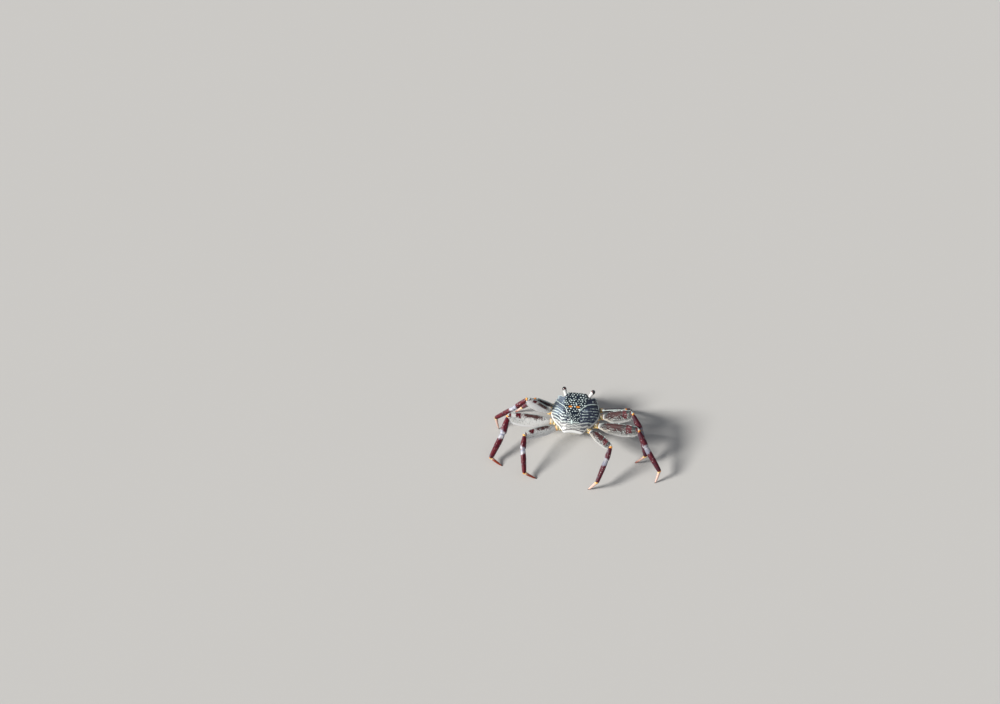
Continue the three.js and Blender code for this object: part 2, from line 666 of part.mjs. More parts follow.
function addClaw(side) {
  const sign = SIDES[side];
  const turned = ([azimuth, elevation]) => aim([sign > 0 ? azimuth : 180 - azimuth, elevation]);
  const arm = turned(CLAW_AIMS.arm);
  const wrist = turned(CLAW_AIMS.wrist);
  const hand = turned(CLAW_AIMS.palm);
  const root = vec(sign * CLAW_ROOT[0], CLAW_ROOT[1], CLAW_ROOT[2]);
  const elbow = root.clone().addScaledVector(arm, CLAW.arm);
  const cuff = elbow.clone().addScaledVector(wrist, CLAW.wrist);
  const inBody = (origin, along, fold) => frameOf(origin, along, fold).premultiply(body);
  const inward = vec(-sign, 0, 0);
  const down = vec(0, -0.4, -1);
  const name = (part) => "claw_" + side + "_" + part;
  addLimb([
    {
      name: name("arm"),
      material: COLOURS.claw,
      matrix: inBody(root, arm, inward),
      build: (grow) =>
        loft(
          [
            { y: 0, wide: 1.8, thick: 1.8 }, { y: 2.3, wide: 2.3, thick: 2.2 },
            { y: 7, wide: 2.8, thick: 2.5 }, { y: 10, wide: 2.6, thick: 2.2 },
            { y: 11.2, wide: 1.7, thick: 1.5 },
          ],
          10,
          grow,
        ),
    },
    {
      name: name("wrist"),
      material: COLOURS.claw,
      matrix: inBody(elbow, wrist, inward),
      build: (grow) =>
        loft(
          [
            { y: -0.6, wide: 1.3, thick: 1.3 }, { y: 0.8, wide: 2.2, thick: 2.1 },
            { y: 3.6, wide: 2.8, thick: 2.5 }, { y: 5.4, wide: 2.5, thick: 2.2 },
            { y: 6.4, wide: 1.6, thick: 1.5 },
          ],
          10,
          grow,
        ),
    },
    {
      name: name("palm"),
      material: COLOURS.claw,
      matrix: inBody(cuff, hand, down),
      build: (grow) => {
        const palm = loft(
          [
            { y: -0.5, wide: 1.2, thick: 1.1 }, { y: 1, wide: 2.3, thick: 1.8 },
            { y: 4.6, wide: 3.2, thick: 2.2 }, { y: 7.8, wide: 3.3, thick: 2.1 },
            { y: 9.4, wide: 2.3, thick: 1.5, x: 0.4 },
          ],
          12,
          grow,
        );
        const thumb = loft(
          [
            { y: 7, wide: 1.4, thick: 1.4, x: 1.6 }, { y: 10.3, wide: 1.2, thick: 1.2, x: 1.9 },
            { y: 13.4, wide: 0.85, thick: 0.95, x: 1.6 }, { y: 15.6, wide: 0.55, thick: 1.05, x: 0.8 },
          ],
          8,
          grow,
        );
        return join([palm, thumb]);
      },
    },
    {
      name: name("finger"),
      material: COLOURS.claw,
      matrix: inBody(cuff, hand, down),
      build: (grow) =>
        loft(
          [
            { y: 7.6, wide: 1.05, thick: 1.05, x: -1.5 }, { y: 8.7, wide: 1.35, thick: 1.3, x: -1.7 },
            { y: 11.3, wide: 1.1, thick: 1.1, x: -1.9 }, { y: 13.8, wide: 0.8, thick: 0.95, x: -1.4 },
            { y: 15.6, wide: 0.55, thick: 1.05, x: -0.65 },
          ],
          8,
          grow,
        ),
    },
  ]);
  cut("thorax", name("arm"));
}

for (const side of Object.keys(SIDES)) addClaw(side);

// ---------------------------------------------------------------- the crab

// Each finished solid goes back into its own frame, and its mesh is placed by that frame.
for (const { name, material, matrix, solid } of bodies.values()) {
  const mesh = new THREE.Mesh(toGeometry(place(solid, matrix.clone().invert())), material);
  mesh.name = name;
  matrix.decompose(mesh.position, mesh.quaternion, mesh.scale);
  crab.add(mesh);
}

// The origin is on the floor under the middle of the whole crab.
crab.updateMatrixWorld(true);
const middle = new THREE.Box3().setFromObject(crab, true).getCenter(vec(0, 0, 0));
crab.position.set(-middle.x, -middle.y, 0);

export default crab;
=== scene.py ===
"""A lightfoot shore crab, life size, standing on its eight walking legs.

Every shell plate, joint skin, eye and bristle is drawn in millimetres in its own frame, with +Y along
a limb segment and +X towards its folding side, or in the body's frame, which faces +Y. The finished
pieces are set round the measured frame in metres.
"""

import itertools
import math
import random

import bmesh
import bpy
import numpy as np
from bpy.props import FloatProperty, FloatVectorProperty, PointerProperty
from mathutils import Matrix, Vector, noise


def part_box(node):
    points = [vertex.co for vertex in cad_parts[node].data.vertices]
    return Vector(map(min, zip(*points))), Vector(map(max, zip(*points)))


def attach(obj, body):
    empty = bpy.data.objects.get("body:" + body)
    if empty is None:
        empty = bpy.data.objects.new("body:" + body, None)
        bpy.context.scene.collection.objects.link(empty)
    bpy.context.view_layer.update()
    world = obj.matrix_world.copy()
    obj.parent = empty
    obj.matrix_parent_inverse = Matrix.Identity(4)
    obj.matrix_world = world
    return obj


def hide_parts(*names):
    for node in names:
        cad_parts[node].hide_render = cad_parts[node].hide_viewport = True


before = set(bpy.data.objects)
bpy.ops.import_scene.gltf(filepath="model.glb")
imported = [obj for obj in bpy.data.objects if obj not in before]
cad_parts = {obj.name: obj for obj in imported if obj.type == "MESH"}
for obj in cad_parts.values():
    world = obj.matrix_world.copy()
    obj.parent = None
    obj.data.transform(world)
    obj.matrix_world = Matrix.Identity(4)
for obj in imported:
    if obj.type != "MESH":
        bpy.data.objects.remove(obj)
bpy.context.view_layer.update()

bl_info = {
    "name": "Lightfoot shore crab",
    "version": (1, 0, 0),
    "blender": (4, 5, 0),
    "location": "View3D > Sidebar > Crab",
    "description": "Builds a shore crab's shell, limbs, eyes and bristles round its measured frame",
    "category": "Object",
}

MM = 0.001
SIDES = {"left": -1, "right": 1}
ACROSS, UP = Vector((1, 0, 0)), Vector((0, 0, 1))
CREASE = math.radians(50)  # sharper folds than this stay sharp
MERGE = 1e-4  # millimetres between points that are one

# ---------------------------------------------------------------- the body, in millimetres

BODY_HEIGHT = 24
BODY_TURN, BODY_PITCH, BODY_ROLL = -8, 6.7, -3.4  # degrees
HALF_WIDTH = 21  # of the carapace
REAR, FRONT = -18, 19.6
BROW_END, BROW_SETBACK = 7.6, 1.9
DOME = 7  # rise of the back over its margin
MARGIN_Z = -4
RIM = 0.7
# Half the width, as a share of the widest, at shares of the length from rear to front.
CARAPACE_PLAN = [
    (0, 0.35), (0.02, 0.41), (0.055, 0.45), (0.12, 0.535), (0.2, 0.68), (0.29, 0.825), (0.375, 0.925),
    (0.48, 0.99), (0.56, 1), (0.7, 0.975), (0.83, 0.9), (0.868, 0.875), (0.885, 0.835),
    (0.96, 0.795), (1, 0.762),
]
MARGIN_TEETH = [(18.3, 1.15), (14.5, 0.85)]  # y of the tip, and how far it stands out
TOOTH_LENGTH, TOOTH_END = 3.2, 0.8
SUMMIT_Y = 2
BROW_DROP = 0.32  # share of the rise that is lost at the front
BROW_LOBES, BROW_Y = (2.5, 7), 17.2  # distances of the lobes from the middle line, and their y
BROW_EDGE = 4.6  # height of the brow over the upper margin
# The ridge that parts the front from the gill regions, which isn't quite the same on both sides.
CERVICAL_LEFT = [(-19.2, 12.4), (-17, 10.8), (-12.8, 6.9), (-9.8, 4.5), (-8, 1.8), (-6.7, -0.6)]
CERVICAL_RIGHT = [(4.3, 0.2), (6.8, 3.8), (9.8, 6.8), (12.8, 8.8), (17.5, 10.4), (19.2, 10.9)]
HEART_GROOVE = [(3.0, 1.2), (3.1, -1.8), (5.0, -5.2), (5.6, -9.5)]
# How far forward the gill stripes run at distances from the middle line.
STRIA_SPACING, STRIA_START = 2.65, -4.5
STRIA_LEFT = [(4, -0.3), (7.5, -0.2), (10, 0), (12, 1.5), (13.7, 2.9), (15.4, 4.3), (17, 5.1), (21, 7.4)]
STRIA_RIGHT = [(4, -1.6), (8, -0.6), (12, 0.55), (16, 1.8), (21, 3.2)]
RUST_SPOTS, RUST_RADII = [(-4.4, 4.1), (2.3, 4.2)], (1.7, 0.95)
# Where the gill stripes begin: beside the middle line and behind the ridge.
GILL_SIDE, GILL_BEHIND = 5.2, 3.2
PALE_REAR = -8.5  # y where the pale rear begins
REAR_BAR_SPACING, REAR_BAR_START = 1.36, -16.4
VEIN_WIDTH = 0.4
# The dots of the back: their spacing, share of the middle radius, and whether before the ridge.
DOT_SETS = [(2.45, 1.16, True), (1.8, 0.88, False)]
HEART_MARK = (-1.5, -10.2, 0.62, 3.0, 1.5)  # x, y, radius, stretch and turn
ORBIT = (11.7, 3.4, 2.5)  # x of its middle, half its width and its depth

THORAX_DEPTH, THORAX_INSET = 10.4, 1.3
THORAX_MIDDLE, THORAX_HALF_LENGTH = 1.4, 16.1
THORAX_ROOF = MARGIN_Z - RIM - 0.3

EYE_ROOT = (9.9, 16.9, -1.3)
EYESTALK_LENGTH = 6.6
# Azimuth from +X towards +Y and elevation of each eyestalk, in degrees.
EYE_AIMS = {"left": (112, 34), "right": (48, 31)}
CORNEA_CENTRE = Vector((-0.25, EYESTALK_LENGTH - 0.1, 0))
CORNEA_RADII = (1.85, 2.15, 1.9)

# ---------------------------------------------------------------- the legs, in millimetres

# Where each leg joins the body, the lengths of its segments, the width of its thigh, how far the thigh
# curves towards the folding side and the width of its shins.
LEG_SIZES = {
    "leg1": {"base": (18.6, 8.6, -8), "ischium": 4, "merus": 22.5, "carpus": 12, "propodus": 17,
             "dactyl": 11.5, "blade": 9, "belly": 0.1, "slim": 4.1},
    "leg2": {"base": (20.1, 1.6, -7.9), "ischium": 4.3, "merus": 30, "carpus": 15.2, "propodus": 22.8,
             "dactyl": 14, "blade": 11.4, "belly": 0.14, "slim": 4.8},
    "leg3": {"base": (17.6, -6.8, -7), "ischium": 3.4, "merus": 39, "carpus": 14.9, "propodus": 23.5,
             "dactyl": 12.5, "blade": 11.8, "belly": 0.16, "slim": 5},
    "leg4": {"base": (12.6, -12.4, -5.9), "ischium": 3, "merus": 32.1, "carpus": 11.5,
             "propodus": 20.6, "dactyl": 12.5, "blade": 9, "belly": -0.05, "slim": 4.7},
}
# Azimuth from +X towards +Y and elevation, in degrees, and the azimuth alone for the dactyl.
LEG_POSES = {
    ("leg1", "left"): {"merus": (195, 45), "carpus": (141, -61), "propodus": (138, -60), "dactyl": 166},
    ("leg2", "left"): {"merus": (186, 47), "carpus": (183, -49), "propodus": (180, -42), "dactyl": 315},
    ("leg3", "left"): {"merus": (183.4, 14.8), "carpus": (250, -34), "propodus": (239, -29),
                       "dactyl": 335},
    ("leg4", "left"): {"merus": (206, 14.2), "carpus": (262, -29), "propodus": (274, -37),
                       "dactyl": 350},
    ("leg1", "right"): {"merus": (346, 21), "carpus": (60, -52), "propodus": (80, -55), "dactyl": 165},
    ("leg2", "right"): {"merus": (344, 28), "carpus": (301, -28), "propodus": (284, -42),
                        "dactyl": 178},
    ("leg3", "right"): {"merus": (337.8, 17), "carpus": (299, -32), "propodus": (304, -28),
                        "dactyl": 238},
    ("leg4", "right"): {"merus": (303.8, 20.8), "carpus": (247, -39), "propodus": (241, -38),
                        "dactyl": 188},
}
# Outlines: share of the length, of the width, of the thickness, and shift towards the folding side.
MERUS_OUTLINE = [
    (0, 0.32, 0.66, 0), (0.08, 0.5, 0.86, 0.2), (0.22, 0.8, 0.97, 0.7), (0.4, 0.98, 1, 1),
    (0.6, 1, 0.98, 0.95), (0.77, 0.94, 0.94, 0.65), (0.9, 0.8, 0.9, 0.3), (0.975, 0.6, 0.8, 0),
    (1.015, 0.4, 0.66, 0),
]
CARPUS_OUTLINE = [
    (-0.03, 0.45, 0.6, 0), (0.1, 0.78, 0.86, 0), (0.38, 0.98, 1, -0.04), (0.7, 1.14, 1.06, -0.04),
    (0.92, 1.1, 1, 0), (1.02, 0.8, 0.8, 0),
]
PROPODUS_OUTLINE = [
    (-0.02, 0.55, 0.66, 0), (0.08, 0.9, 0.94, 0), (0.35, 1.04, 1, 0.02), (0.7, 0.92, 0.92, 0),
    (0.93, 0.8, 0.84, 0), (1.02, 0.56, 0.62, 0),
]
DACTYL_OUTLINE = [
    (-0.04, 0.62, 0.66, 0), (0.1, 1, 1, 0), (0.4, 0.86, 0.86, -0.12), (0.75, 0.62, 0.62, -0.1),
    (0.94, 0.34, 0.36, 0.04), (1.03, 0.2, 0.2, 0.12),
]
MERUS_THICKNESS = 0.36
SHAFT_THICKNESS = 0.78
DACTYL_WIDTH = 2.5
LIP_AT = 0.985  # share of a segment's length
# Share of the length, reach and edge, 1 for the folding one.
MERUS_TEETH = [(0.84, 0.9, 1), (0.9, 1.1, 1), (0.96, 1.2, 1), (0.93, 1, -1)]
# Each leg's colouring: its painted light and shade (above 0 a leg on the left is painted lit and paler,
# below 0 a leg on the right is painted shaded and darker), how slate its thigh is (painted shade on the
# right first leg), how far white spreads from the thigh's folding edge and how rosy its toe is.
LEG_MARKS = {
    ("leg1", "left"): {"tone": 0.4, "slate": 0.45, "white": 0, "rosy": 0},
    ("leg2", "left"): {"tone": 1.7, "slate": 0, "white": 1.25, "rosy": -0.5},
    ("leg3", "left"): {"tone": 1.4, "slate": 0, "white": 0, "rosy": 1},
    ("leg4", "left"): {"tone": 1.2, "slate": 0, "white": 0, "rosy": 1},
    ("leg1", "right"): {"tone": -0.6, "slate": 0.85, "white": 0, "rosy": 0},
    ("leg2", "right"): {"tone": -1.4, "slate": 0, "white": 0, "rosy": 0},
    ("leg3", "right"): {"tone": -1.3, "slate": 0, "white": 0, "rosy": -0.6},
    ("leg4", "right"): {"tone": -1.3, "slate": 0, "white": 0, "rosy": -0.6},
}
LIT_SIDE = Vector((-1, -0.1, 0.25))  # the side towards the key light, where each shin's pale streak lies: a real pale streak under a painted highlight

# ---------------------------------------------------------------- the claws, in millimetres

CLAW_ROOT = (7.6, 8.6, -11.8)
CLAW_ARM, CLAW_WRIST = 10, 5.8
# Azimuth and elevation of each part of the right claw, in degrees.
CLAW_AIMS = {"arm": (52, -6), "wrist": (104, -34), "palm": (147, -30)}
# Stations along each part of a claw: y, half width, half thickness, x.
ARM_STATIONS = [(0, 1.8, 1.8, 0), (2.3, 2.3, 2.2, 0), (7, 2.8, 2.5, 0), (10, 2.6, 2.2, 0),
                (11.2, 1.7, 1.5, 0)]
WRIST_STATIONS = [(-0.6, 1.3, 1.3, 0), (0.8, 2.2, 2.1, 0), (3.6, 2.8, 2.5, 0), (5.4, 2.5, 2.2, 0),
                  (6.4, 1.6, 1.5, 0)]
PALM_STATIONS = [(-0.5, 1.2, 1.1, 0), (1, 2.3, 1.8, 0), (4.6, 3.2, 2.2, 0), (7.8, 3.3, 2.1, 0),
                 (9.4, 2.3, 1.5, 0.4)]
THUMB_STATIONS = [(6, 1.4, 1.4, 1.5), (10.3, 1.2, 1.2, 1.9), (13.4, 0.85, 0.95, 1.6),
                  (15.5, 0.55, 1.0, 0.8)]
FINGER_STATIONS = [(7.6, 1.05, 1.05, -1.5), (8.7, 1.35, 1.3, -1.7), (11.3, 1.1, 1.1, -1.9),
                   (13.8, 0.8, 0.95, -1.4), (15.5, 0.55, 1.0, -0.65)]


# ---------------------------------------------------------------- what a user would change

def length(name, description, default, least, most):
    """A length property in metres."""
    return FloatProperty(name=name, description=description, default=default, min=least, max=most,
                         precision=5, unit="LENGTH")


def camera_place(name, description, default):
    return FloatProperty(name=name, description=description, default=default, precision=4, unit="LENGTH")


def strength(name, description, default):
    return FloatProperty(name=name, description=description, default=default, min=0)


def colour(name, description, default):
    """A colour property in scene-linear red, green and blue."""
    return FloatVectorProperty(
        name=name, description=description, default=default, size=3, min=0, max=1, subtype="COLOR")


class CrabSizes(bpy.types.PropertyGroup):
    """Sizes of the shell's finer forms."""

    ridge_height: length("Ridge height", "How far the gill ridges stand out", 0.00016, 0, 0.0005)
    dot_height: length("Dot height", "How far the pale dots stand up as grains", 0.00012, 0, 0.0004)
    dot_radius: length("Dot radius", "Middle radius of the carapace's dots", 0.00046, 0.0001, 0.001)
    bristle_length: length("Bristle length", "Middle length of the legs' bristles", 0.00095, 0, 0.003)
    bristle_radius: length("Bristle radius", "Radius of a bristle's root", 0.00008, 0.00002, 0.0003)


class CrabColours(bpy.types.PropertyGroup):
    """Colours of the shell, skin and eyes."""

    brow_dark: colour("Brow dark", "Ground colour of the front of the carapace", (0.004, 0.011, 0.024))
    gill_dark: colour("Gill dark", "Stripes between the gill ridges", (0.016, 0.024, 0.052))
    # Gill pale also paints the sheen over the left front of the carapace.
    gill_pale: colour("Gill pale", "Clouds over the dark of the gill regions", (0.20, 0.25, 0.32))
    pale_mark: colour("Pale mark", "Dots, ridges and lines of the carapace", (0.64, 0.76, 0.74))
    rear_cream: colour("Rear cream", "The pale rear of the carapace", (0.60, 0.61, 0.58))
    thigh_cream: colour("Thigh cream", "Ground colour of the thighs", (0.66, 0.67, 0.63))
    thigh_olive: colour("Thigh olive", "Fine mottling of the thighs", (0.040, 0.048, 0.046))
    thigh_brown: colour("Thigh brown", "Clouds of the upper thighs", (0.068, 0.013, 0.012))
    thigh_dark: colour("Thigh dark", "Upper part of the thighs", (0.022, 0.040, 0.042))
    rust: colour("Rust", "The two orange spots of the carapace", (0.78, 0.27, 0.025))
    maroon: colour("Maroon", "Patches of the thighs and the shins", (0.125, 0.006, 0.014))
    # Shell white also paints the highlight on the lit side of the shins.
    shell_white: colour("Shell white", "Lower edge of the thighs, rings and streaks", (0.74, 0.75, 0.74))
    skin: colour("Joint skin", "Soft skin in the joints", (0.86, 0.27, 0.015))
    skin_pale: colour("Pale joint skin", "Edges of the joint skin", (0.86, 0.66, 0.22))
    toe_pink: colour("Toe pink", "Ground colour of the toes", (0.82, 0.55, 0.46))
    toe_orange: colour("Toe orange", "Towards the tips of the toes", (0.34, 0.045, 0.014))
    underside: colour("Underside", "Breastplate, tail flap and mouth plates", (0.70, 0.68, 0.60))
    hip: colour("Hip", "Ground colour of the hips", (0.66, 0.61, 0.48))
    claw: colour("Claw", "Ground colour of the claws", (0.17, 0.015, 0.035))
    horn: colour("Horn", "Bristles and the points of the toes", (0.030, 0.012, 0.006))
    cornea: colour("Cornea", "The eye itself", (0.010, 0.020, 0.022))


class CrabStage(bpy.types.PropertyGroup):
    """The camera, the lights and the floor."""

    lens: FloatProperty(name="Lens", description="Focal length in millimetres on a 36 mm frame",
                        default=74.06, min=20, max=300)
    look_down: FloatProperty(name="Look down", description="How far the camera looks down",
                             default=math.radians(53), subtype="ANGLE")
    camera_across: camera_place("Camera across", "Camera's x from the body's middle", -0.0656)
    camera_back: camera_place("Camera back", "Camera's distance behind the body", 1.0406)
    camera_height: camera_place("Camera height", "Camera's height over the floor", 1.4936)
    key_light: strength("Key light", "Strength of the main light, on the left", 4.8)
    fill_light: strength("Fill light", "Strength of the light on the right", 0.16)
    room_light: strength("Room light", "Strength of the light from all round", 0.21)
    floor: colour("Floor", "Colour of the floor", (0.58, 0.575, 0.56))


# Lesser colours, which only shade those above.
TINTS = {
    "rear_slate": (0.13, 0.14, 0.16),
    "rear_line": (0.10, 0.08, 0.09),
    "pepper": (0.07, 0.075, 0.085),
    "rear_seam": (0.07, 0.035, 0.03),
    # Lit and shaded copies of the thighs' colours follow, as painted light and shade: the white, the grey,
    # the black and the edge white.
    "thigh_lit_white": (0.85, 0.85, 0.83),
    "thigh_shade_grey": (0.37, 0.37, 0.36),
    "thigh_base": (0.56, 0.51, 0.43),
    "thigh_speckle_shade": (0.012, 0.011, 0.013),
    "thigh_shade": (0.014, 0.012, 0.014),
    "edge_lit_white": (0.86, 0.87, 0.88),
    "shin_plum": (0.035, 0.008, 0.020),
    "shin_rose": (0.34, 0.10, 0.12),
    # Painted shade and sheen of the shins: the slate of their far side and the lilac of their lit side.
    "shin_slate_shade": (0.030, 0.035, 0.075),
    "shin_lilac_sheen": (0.36, 0.25, 0.32),
    "shin_shade": (0.020, 0.006, 0.014),
    "cuff_pearl": (0.66, 0.67, 0.71),
    "cuff_lilac": (0.34, 0.36, 0.47),
    "under_cloud": (0.40, 0.42, 0.44),
    "face_net": (0.20, 0.085, 0.12),
    "under_seam": (0.16, 0.10, 0.085),
    "hip_cloud": (0.07, 0.055, 0.05),
    "claw_plum": (0.05, 0.010, 0.045),
    "stalk_cloud": (0.28, 0.22, 0.16),
    "stalk_band": (0.085, 0.012, 0.016),
    "cornea_red": (0.055, 0.010, 0.012),
    "cornea_teal": (0.015, 0.06, 0.06),
    "horn_pale": (0.16, 0.07, 0.03),
}


# ---------------------------------------------------------------- curves and frames

def through(at, values, where):
    """A smooth curve through a few known values, which never swings past them."""
    at, values = np.asarray(at, float), np.asarray(values, float)
    steps = np.diff(values) / np.diff(at)
    slopes = np.zeros(len(values))
    turning = steps[:-1] * steps[1:] <= 0
    safe = np.where(turning, 1, steps[:-1] * steps[1:])
    slopes[1:-1] = np.where(turning, 0, 2 * safe / np.where(turning, 1, steps[:-1] + steps[1:]))
    slopes[0], slopes[-1] = steps[0], steps[-1]
    k = np.clip(np.searchsorted(at, where, side="right") - 1, 0, len(at) - 2)
    span = at[k + 1] - at[k]
    t = (where - at[k]) / span
    rise = values[k + 1] - values[k]
    bulge = t * (1 - t) * ((1 - t) * slopes[k] - t * slopes[k + 1] - (1 - 2 * t) * rise / span) * span
    return values[k] + rise * t + bulge


def bump(distance, reach):
    return np.exp(-((distance / reach) ** 2))


def ramp(t):
    t = np.clip(t, 0, 1)
    return t * t * (3 - 2 * t)


def distance_to_line(x, y, line):
    """Distance in plan from each point to a run of straight lines."""
    nearest = np.full(np.shape(x), np.inf)
    for (ax, ay), (bx, by) in zip(line, line[1:]):
        dx, dy = bx - ax, by - ay
        t = np.clip(((x - ax) * dx + (y - ay) * dy) / (dx * dx + dy * dy), 0, 1)
        nearest = np.minimum(nearest, np.hypot(x - ax - t * dx, y - ay - t * dy))
    return nearest


def roughly(points, scale, shift=0.0):
    """Smooth noise from about -1 to 1 at each point, for points as an array of rows."""
    offset = Vector((shift, 2 * shift, 3 * shift))
    return np.array([noise.noise(Vector(p) * scale + offset) for p in points.tolist()])


def aim(azimuth, elevation):
    a, e = math.radians(azimuth), math.radians(elevation)
    return Vector((math.cos(e) * math.cos(a), math.cos(e) * math.sin(a), math.sin(e)))


def frame_of(origin, along, fold):
    """A segment's own frame: +Y along it and +X towards its folding side."""
    y = along.normalized()
    x = (fold - y * fold.dot(y)).normalized()
    z = x.cross(y)
    m = Matrix((x, y, z)).transposed().to_4x4()
    m.translation = origin
    return m


BODY = (
    Matrix.Translation((0, 0, BODY_HEIGHT))
    @ Matrix.Rotation(math.radians(BODY_TURN), 4, "Z")
    @ Matrix.Rotation(math.radians(BODY_PITCH), 4, "X")
    @ Matrix.Rotation(math.radians(BODY_ROLL), 4, "Y")
)


def eye_frame(side):
    x, y, z = EYE_ROOT
    root = Vector((SIDES[side] * x, y, z))
    return BODY @ frame_of(root, aim(*EYE_AIMS[side]), Vector((0, 0, -1)))


def crab_place():
    """Where the body's own axis stands in the frame, worked out from the two eyes."""
    shift = Vector((0, 0, 0))
    for side in SIDES:
        low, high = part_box("eye_" + side)
        shift += ((low + high) / 2 / MM - eye_frame(side) @ CORNEA_CENTRE) / 2
    return Matrix.Translation((shift.x, shift.y, 0))


CRAB = crab_place()


def leg_joints(leg, side):
    """The joints of a leg as points, and the way that each segment runs."""
    sizes, pose = LEG_SIZES[leg], LEG_POSES[leg, side]
    sign = SIDES[side]
    bx, by, bz = sizes["base"]
    base = BODY @ Vector((sign * bx, by, bz))
    root = BODY @ Vector((sign * (bx - 6), by * 0.93, bz - 1.6))
    thigh, wrist, shin = aim(*pose["merus"]), aim(*pose["carpus"]), aim(*pose["propodus"])
    start = base + thigh * sizes["ischium"]
    knee = start + thigh * sizes["merus"]
    middle = knee + wrist * sizes["carpus"]
    ankle = middle + shin * sizes["propodus"]
    slope = -math.degrees(math.asin(ankle.z / sizes["dactyl"]))
    return {"root": root, "base": base, "start": start, "knee": knee, "middle": middle, "ankle": ankle,
            "thigh": thigh, "wrist": wrist, "shin": shin, "toe": aim(pose["dactyl"], slope)}


# ---------------------------------------------------------------- forms

def shaped_grid(columns, rows, shape):
    """A grid of faces bent by shape(u, v), with the edges and poles that meet closed up."""
    bm = bmesh.new()
    bmesh.ops.create_grid(bm, x_segments=columns, y_segments=rows, size=0.5)
    flat = np.array([v.co for v in bm.verts]) + 0.5
    for vert, place in zip(bm.verts, shape(flat[:, 0], flat[:, 1]).tolist()):
        vert.co = place
    bmesh.ops.remove_doubles(bm, verts=bm.verts[:], dist=MERGE)
    bmesh.ops.recalc_face_normals(bm, faces=bm.faces[:])
    return bm


def dome_rows(reach):
    """Rows of a round end: how far out it reaches and the share of the width, from the body out."""
    turn = np.radians([22, 44, 64, 80, 90])
    return reach * np.sin(turn), np.cos(turn)


# A cup's rolled rim and hollow: how far out each row lies, and its share of the width.
CUP_REACH, CUP_SHARE = np.array([
    (0.16, 0.97), (0.18, 0.88), (0.05, 0.8), (-0.4, 0.72), (-0.8, 0.5), (-0.9, 0),
]).T


def closed_rows(y, x, wide, thick, head, cup=0.0):
    """Closes a run of oval rows with a round head, and with a rolled rim and a cup or a round tip."""
    reach, share = dome_rows(head)
    before, first = y[0] - reach[::-1], share[::-1]
    after, last = y[-1] + reach, share
    if cup:
        after, last = y[-1] + cup * CUP_REACH, CUP_SHARE
    return {
        "y": np.concatenate([before, y, after]),
        "x": np.concatenate([np.full(len(before), x[0]), x, np.full(len(after), x[-1])]),
        "wide": np.concatenate([wide[0] * first, wide, wide[-1] * last]),
        "thick": np.concatenate([thick[0] * first, thick, thick[-1] * last]),
    }


def outline_rows(outline, length, wide, thick, count, belly=1.0, head=0.8, cup=0.0):
    table = np.array(outline)
    at = table[:, 0]
    t = np.linspace(at[0], at[-1], count)
    across, deep, shift = (through(at, table[:, k], t) for k in (1, 2, 3))
    return closed_rows(t * length, shift * belly * wide, across * wide, deep * thick, head, cup)


def station_rows(stations, count, head=0.6, cup=0.0):
    table = np.array(stations, float)
    y = np.linspace(table[0, 0], table[-1, 0], count)
    wide, thick, x = (through(table[:, 0], table[:, k], y) for k in (1, 2, 3))
    return closed_rows(y, x, wide, thick, head, cup)


def tube(rows, sides, roundness=2.0, relief=None):
    """A closed body through oval rows along +Y. relief(points, angle) lifts its surface."""
    power = 2 / roundness
    fade = np.clip(rows["wide"] / (0.45 * rows["wide"].max()), 0, 1) ** 2

    def shape(u, v):
        k = np.rint(v * (len(rows["y"]) - 1)).astype(int)
        c, s = np.cos(2 * np.pi * u), np.sin(2 * np.pi * u)
        points = np.stack([
            rows["x"][k] + rows["wide"][k] * np.sign(c) * np.abs(c) ** power,
            rows["y"][k],
            rows["thick"][k] * np.sign(s) * np.abs(s) ** power,
        ], axis=-1)
        if relief:
            lift = relief(points, 2 * np.pi * u) * fade[k]
            points[:, 0] += lift * c
            points[:, 2] += lift * s
        return points

    return shaped_grid(sides, len(rows["y"]) - 1, shape)


def hoops(*rings):
    """Relief of raised or sunken rings round a tube, each given by its y, height and width."""
    def relief(points, angle):
        return sum(height * bump(points[:, 1] - y, width) for y, height, width in rings)

    return relief


def spot_on(rows, y, angle):
    """A point of a tube's surface at a height and angle, and the way out of it."""
    wide, thick, x = (float(np.interp(y, rows["y"], rows[key])) for key in ("wide", "thick", "x"))
    c, s = math.cos(angle), math.sin(angle)
    out = Vector((c / max(wide, 0.01), 0, s / max(thick, 0.01))).normalized()
    return Vector((x + wide * c, y, thick * s)), out


def add_spike(bm, root, tip, radius, sides=5, blunt=0.15):
    """A tapered spine or bristle, with its root where it is told."""
    along = tip - root
    matrix = Matrix.Translation((root + tip) / 2) @ along.to_track_quat("Z", "Y").to_matrix().to_4x4()
    bmesh.ops.create_cone(bm, cap_ends=True, segments=sides, radius1=radius, radius2=radius * blunt,
                          depth=along.length, matrix=matrix)


def cut_off(bm, point, out):
    """Cuts away what lies beyond a plane, on the side that out points to."""
    bmesh.ops.bisect_plane(bm, geom=bm.verts[:] + bm.edges[:] + bm.faces[:], plane_co=point,
                           plane_no=out, clear_outer=True)


def add_to(bm, other, matrix=None):
    """Takes another drawing into this one, moved by matrix."""
    if matrix is not None:
        bmesh.ops.transform(other, matrix=matrix, verts=other.verts[:])
    mesh = bpy.data.meshes.new("part")
    other.to_mesh(mesh)
    other.free()
    bm.from_mesh(mesh)
    bpy.data.meshes.remove(mesh)


def ellipsoid(radii, rings=14, sides=20):
    bm = bmesh.new()
    bmesh.ops.create_uvsphere(bm, u_segments=sides, v_segments=rings, radius=1)
    bmesh.ops.scale(bm, vec=radii, verts=bm.verts[:])
    return bm


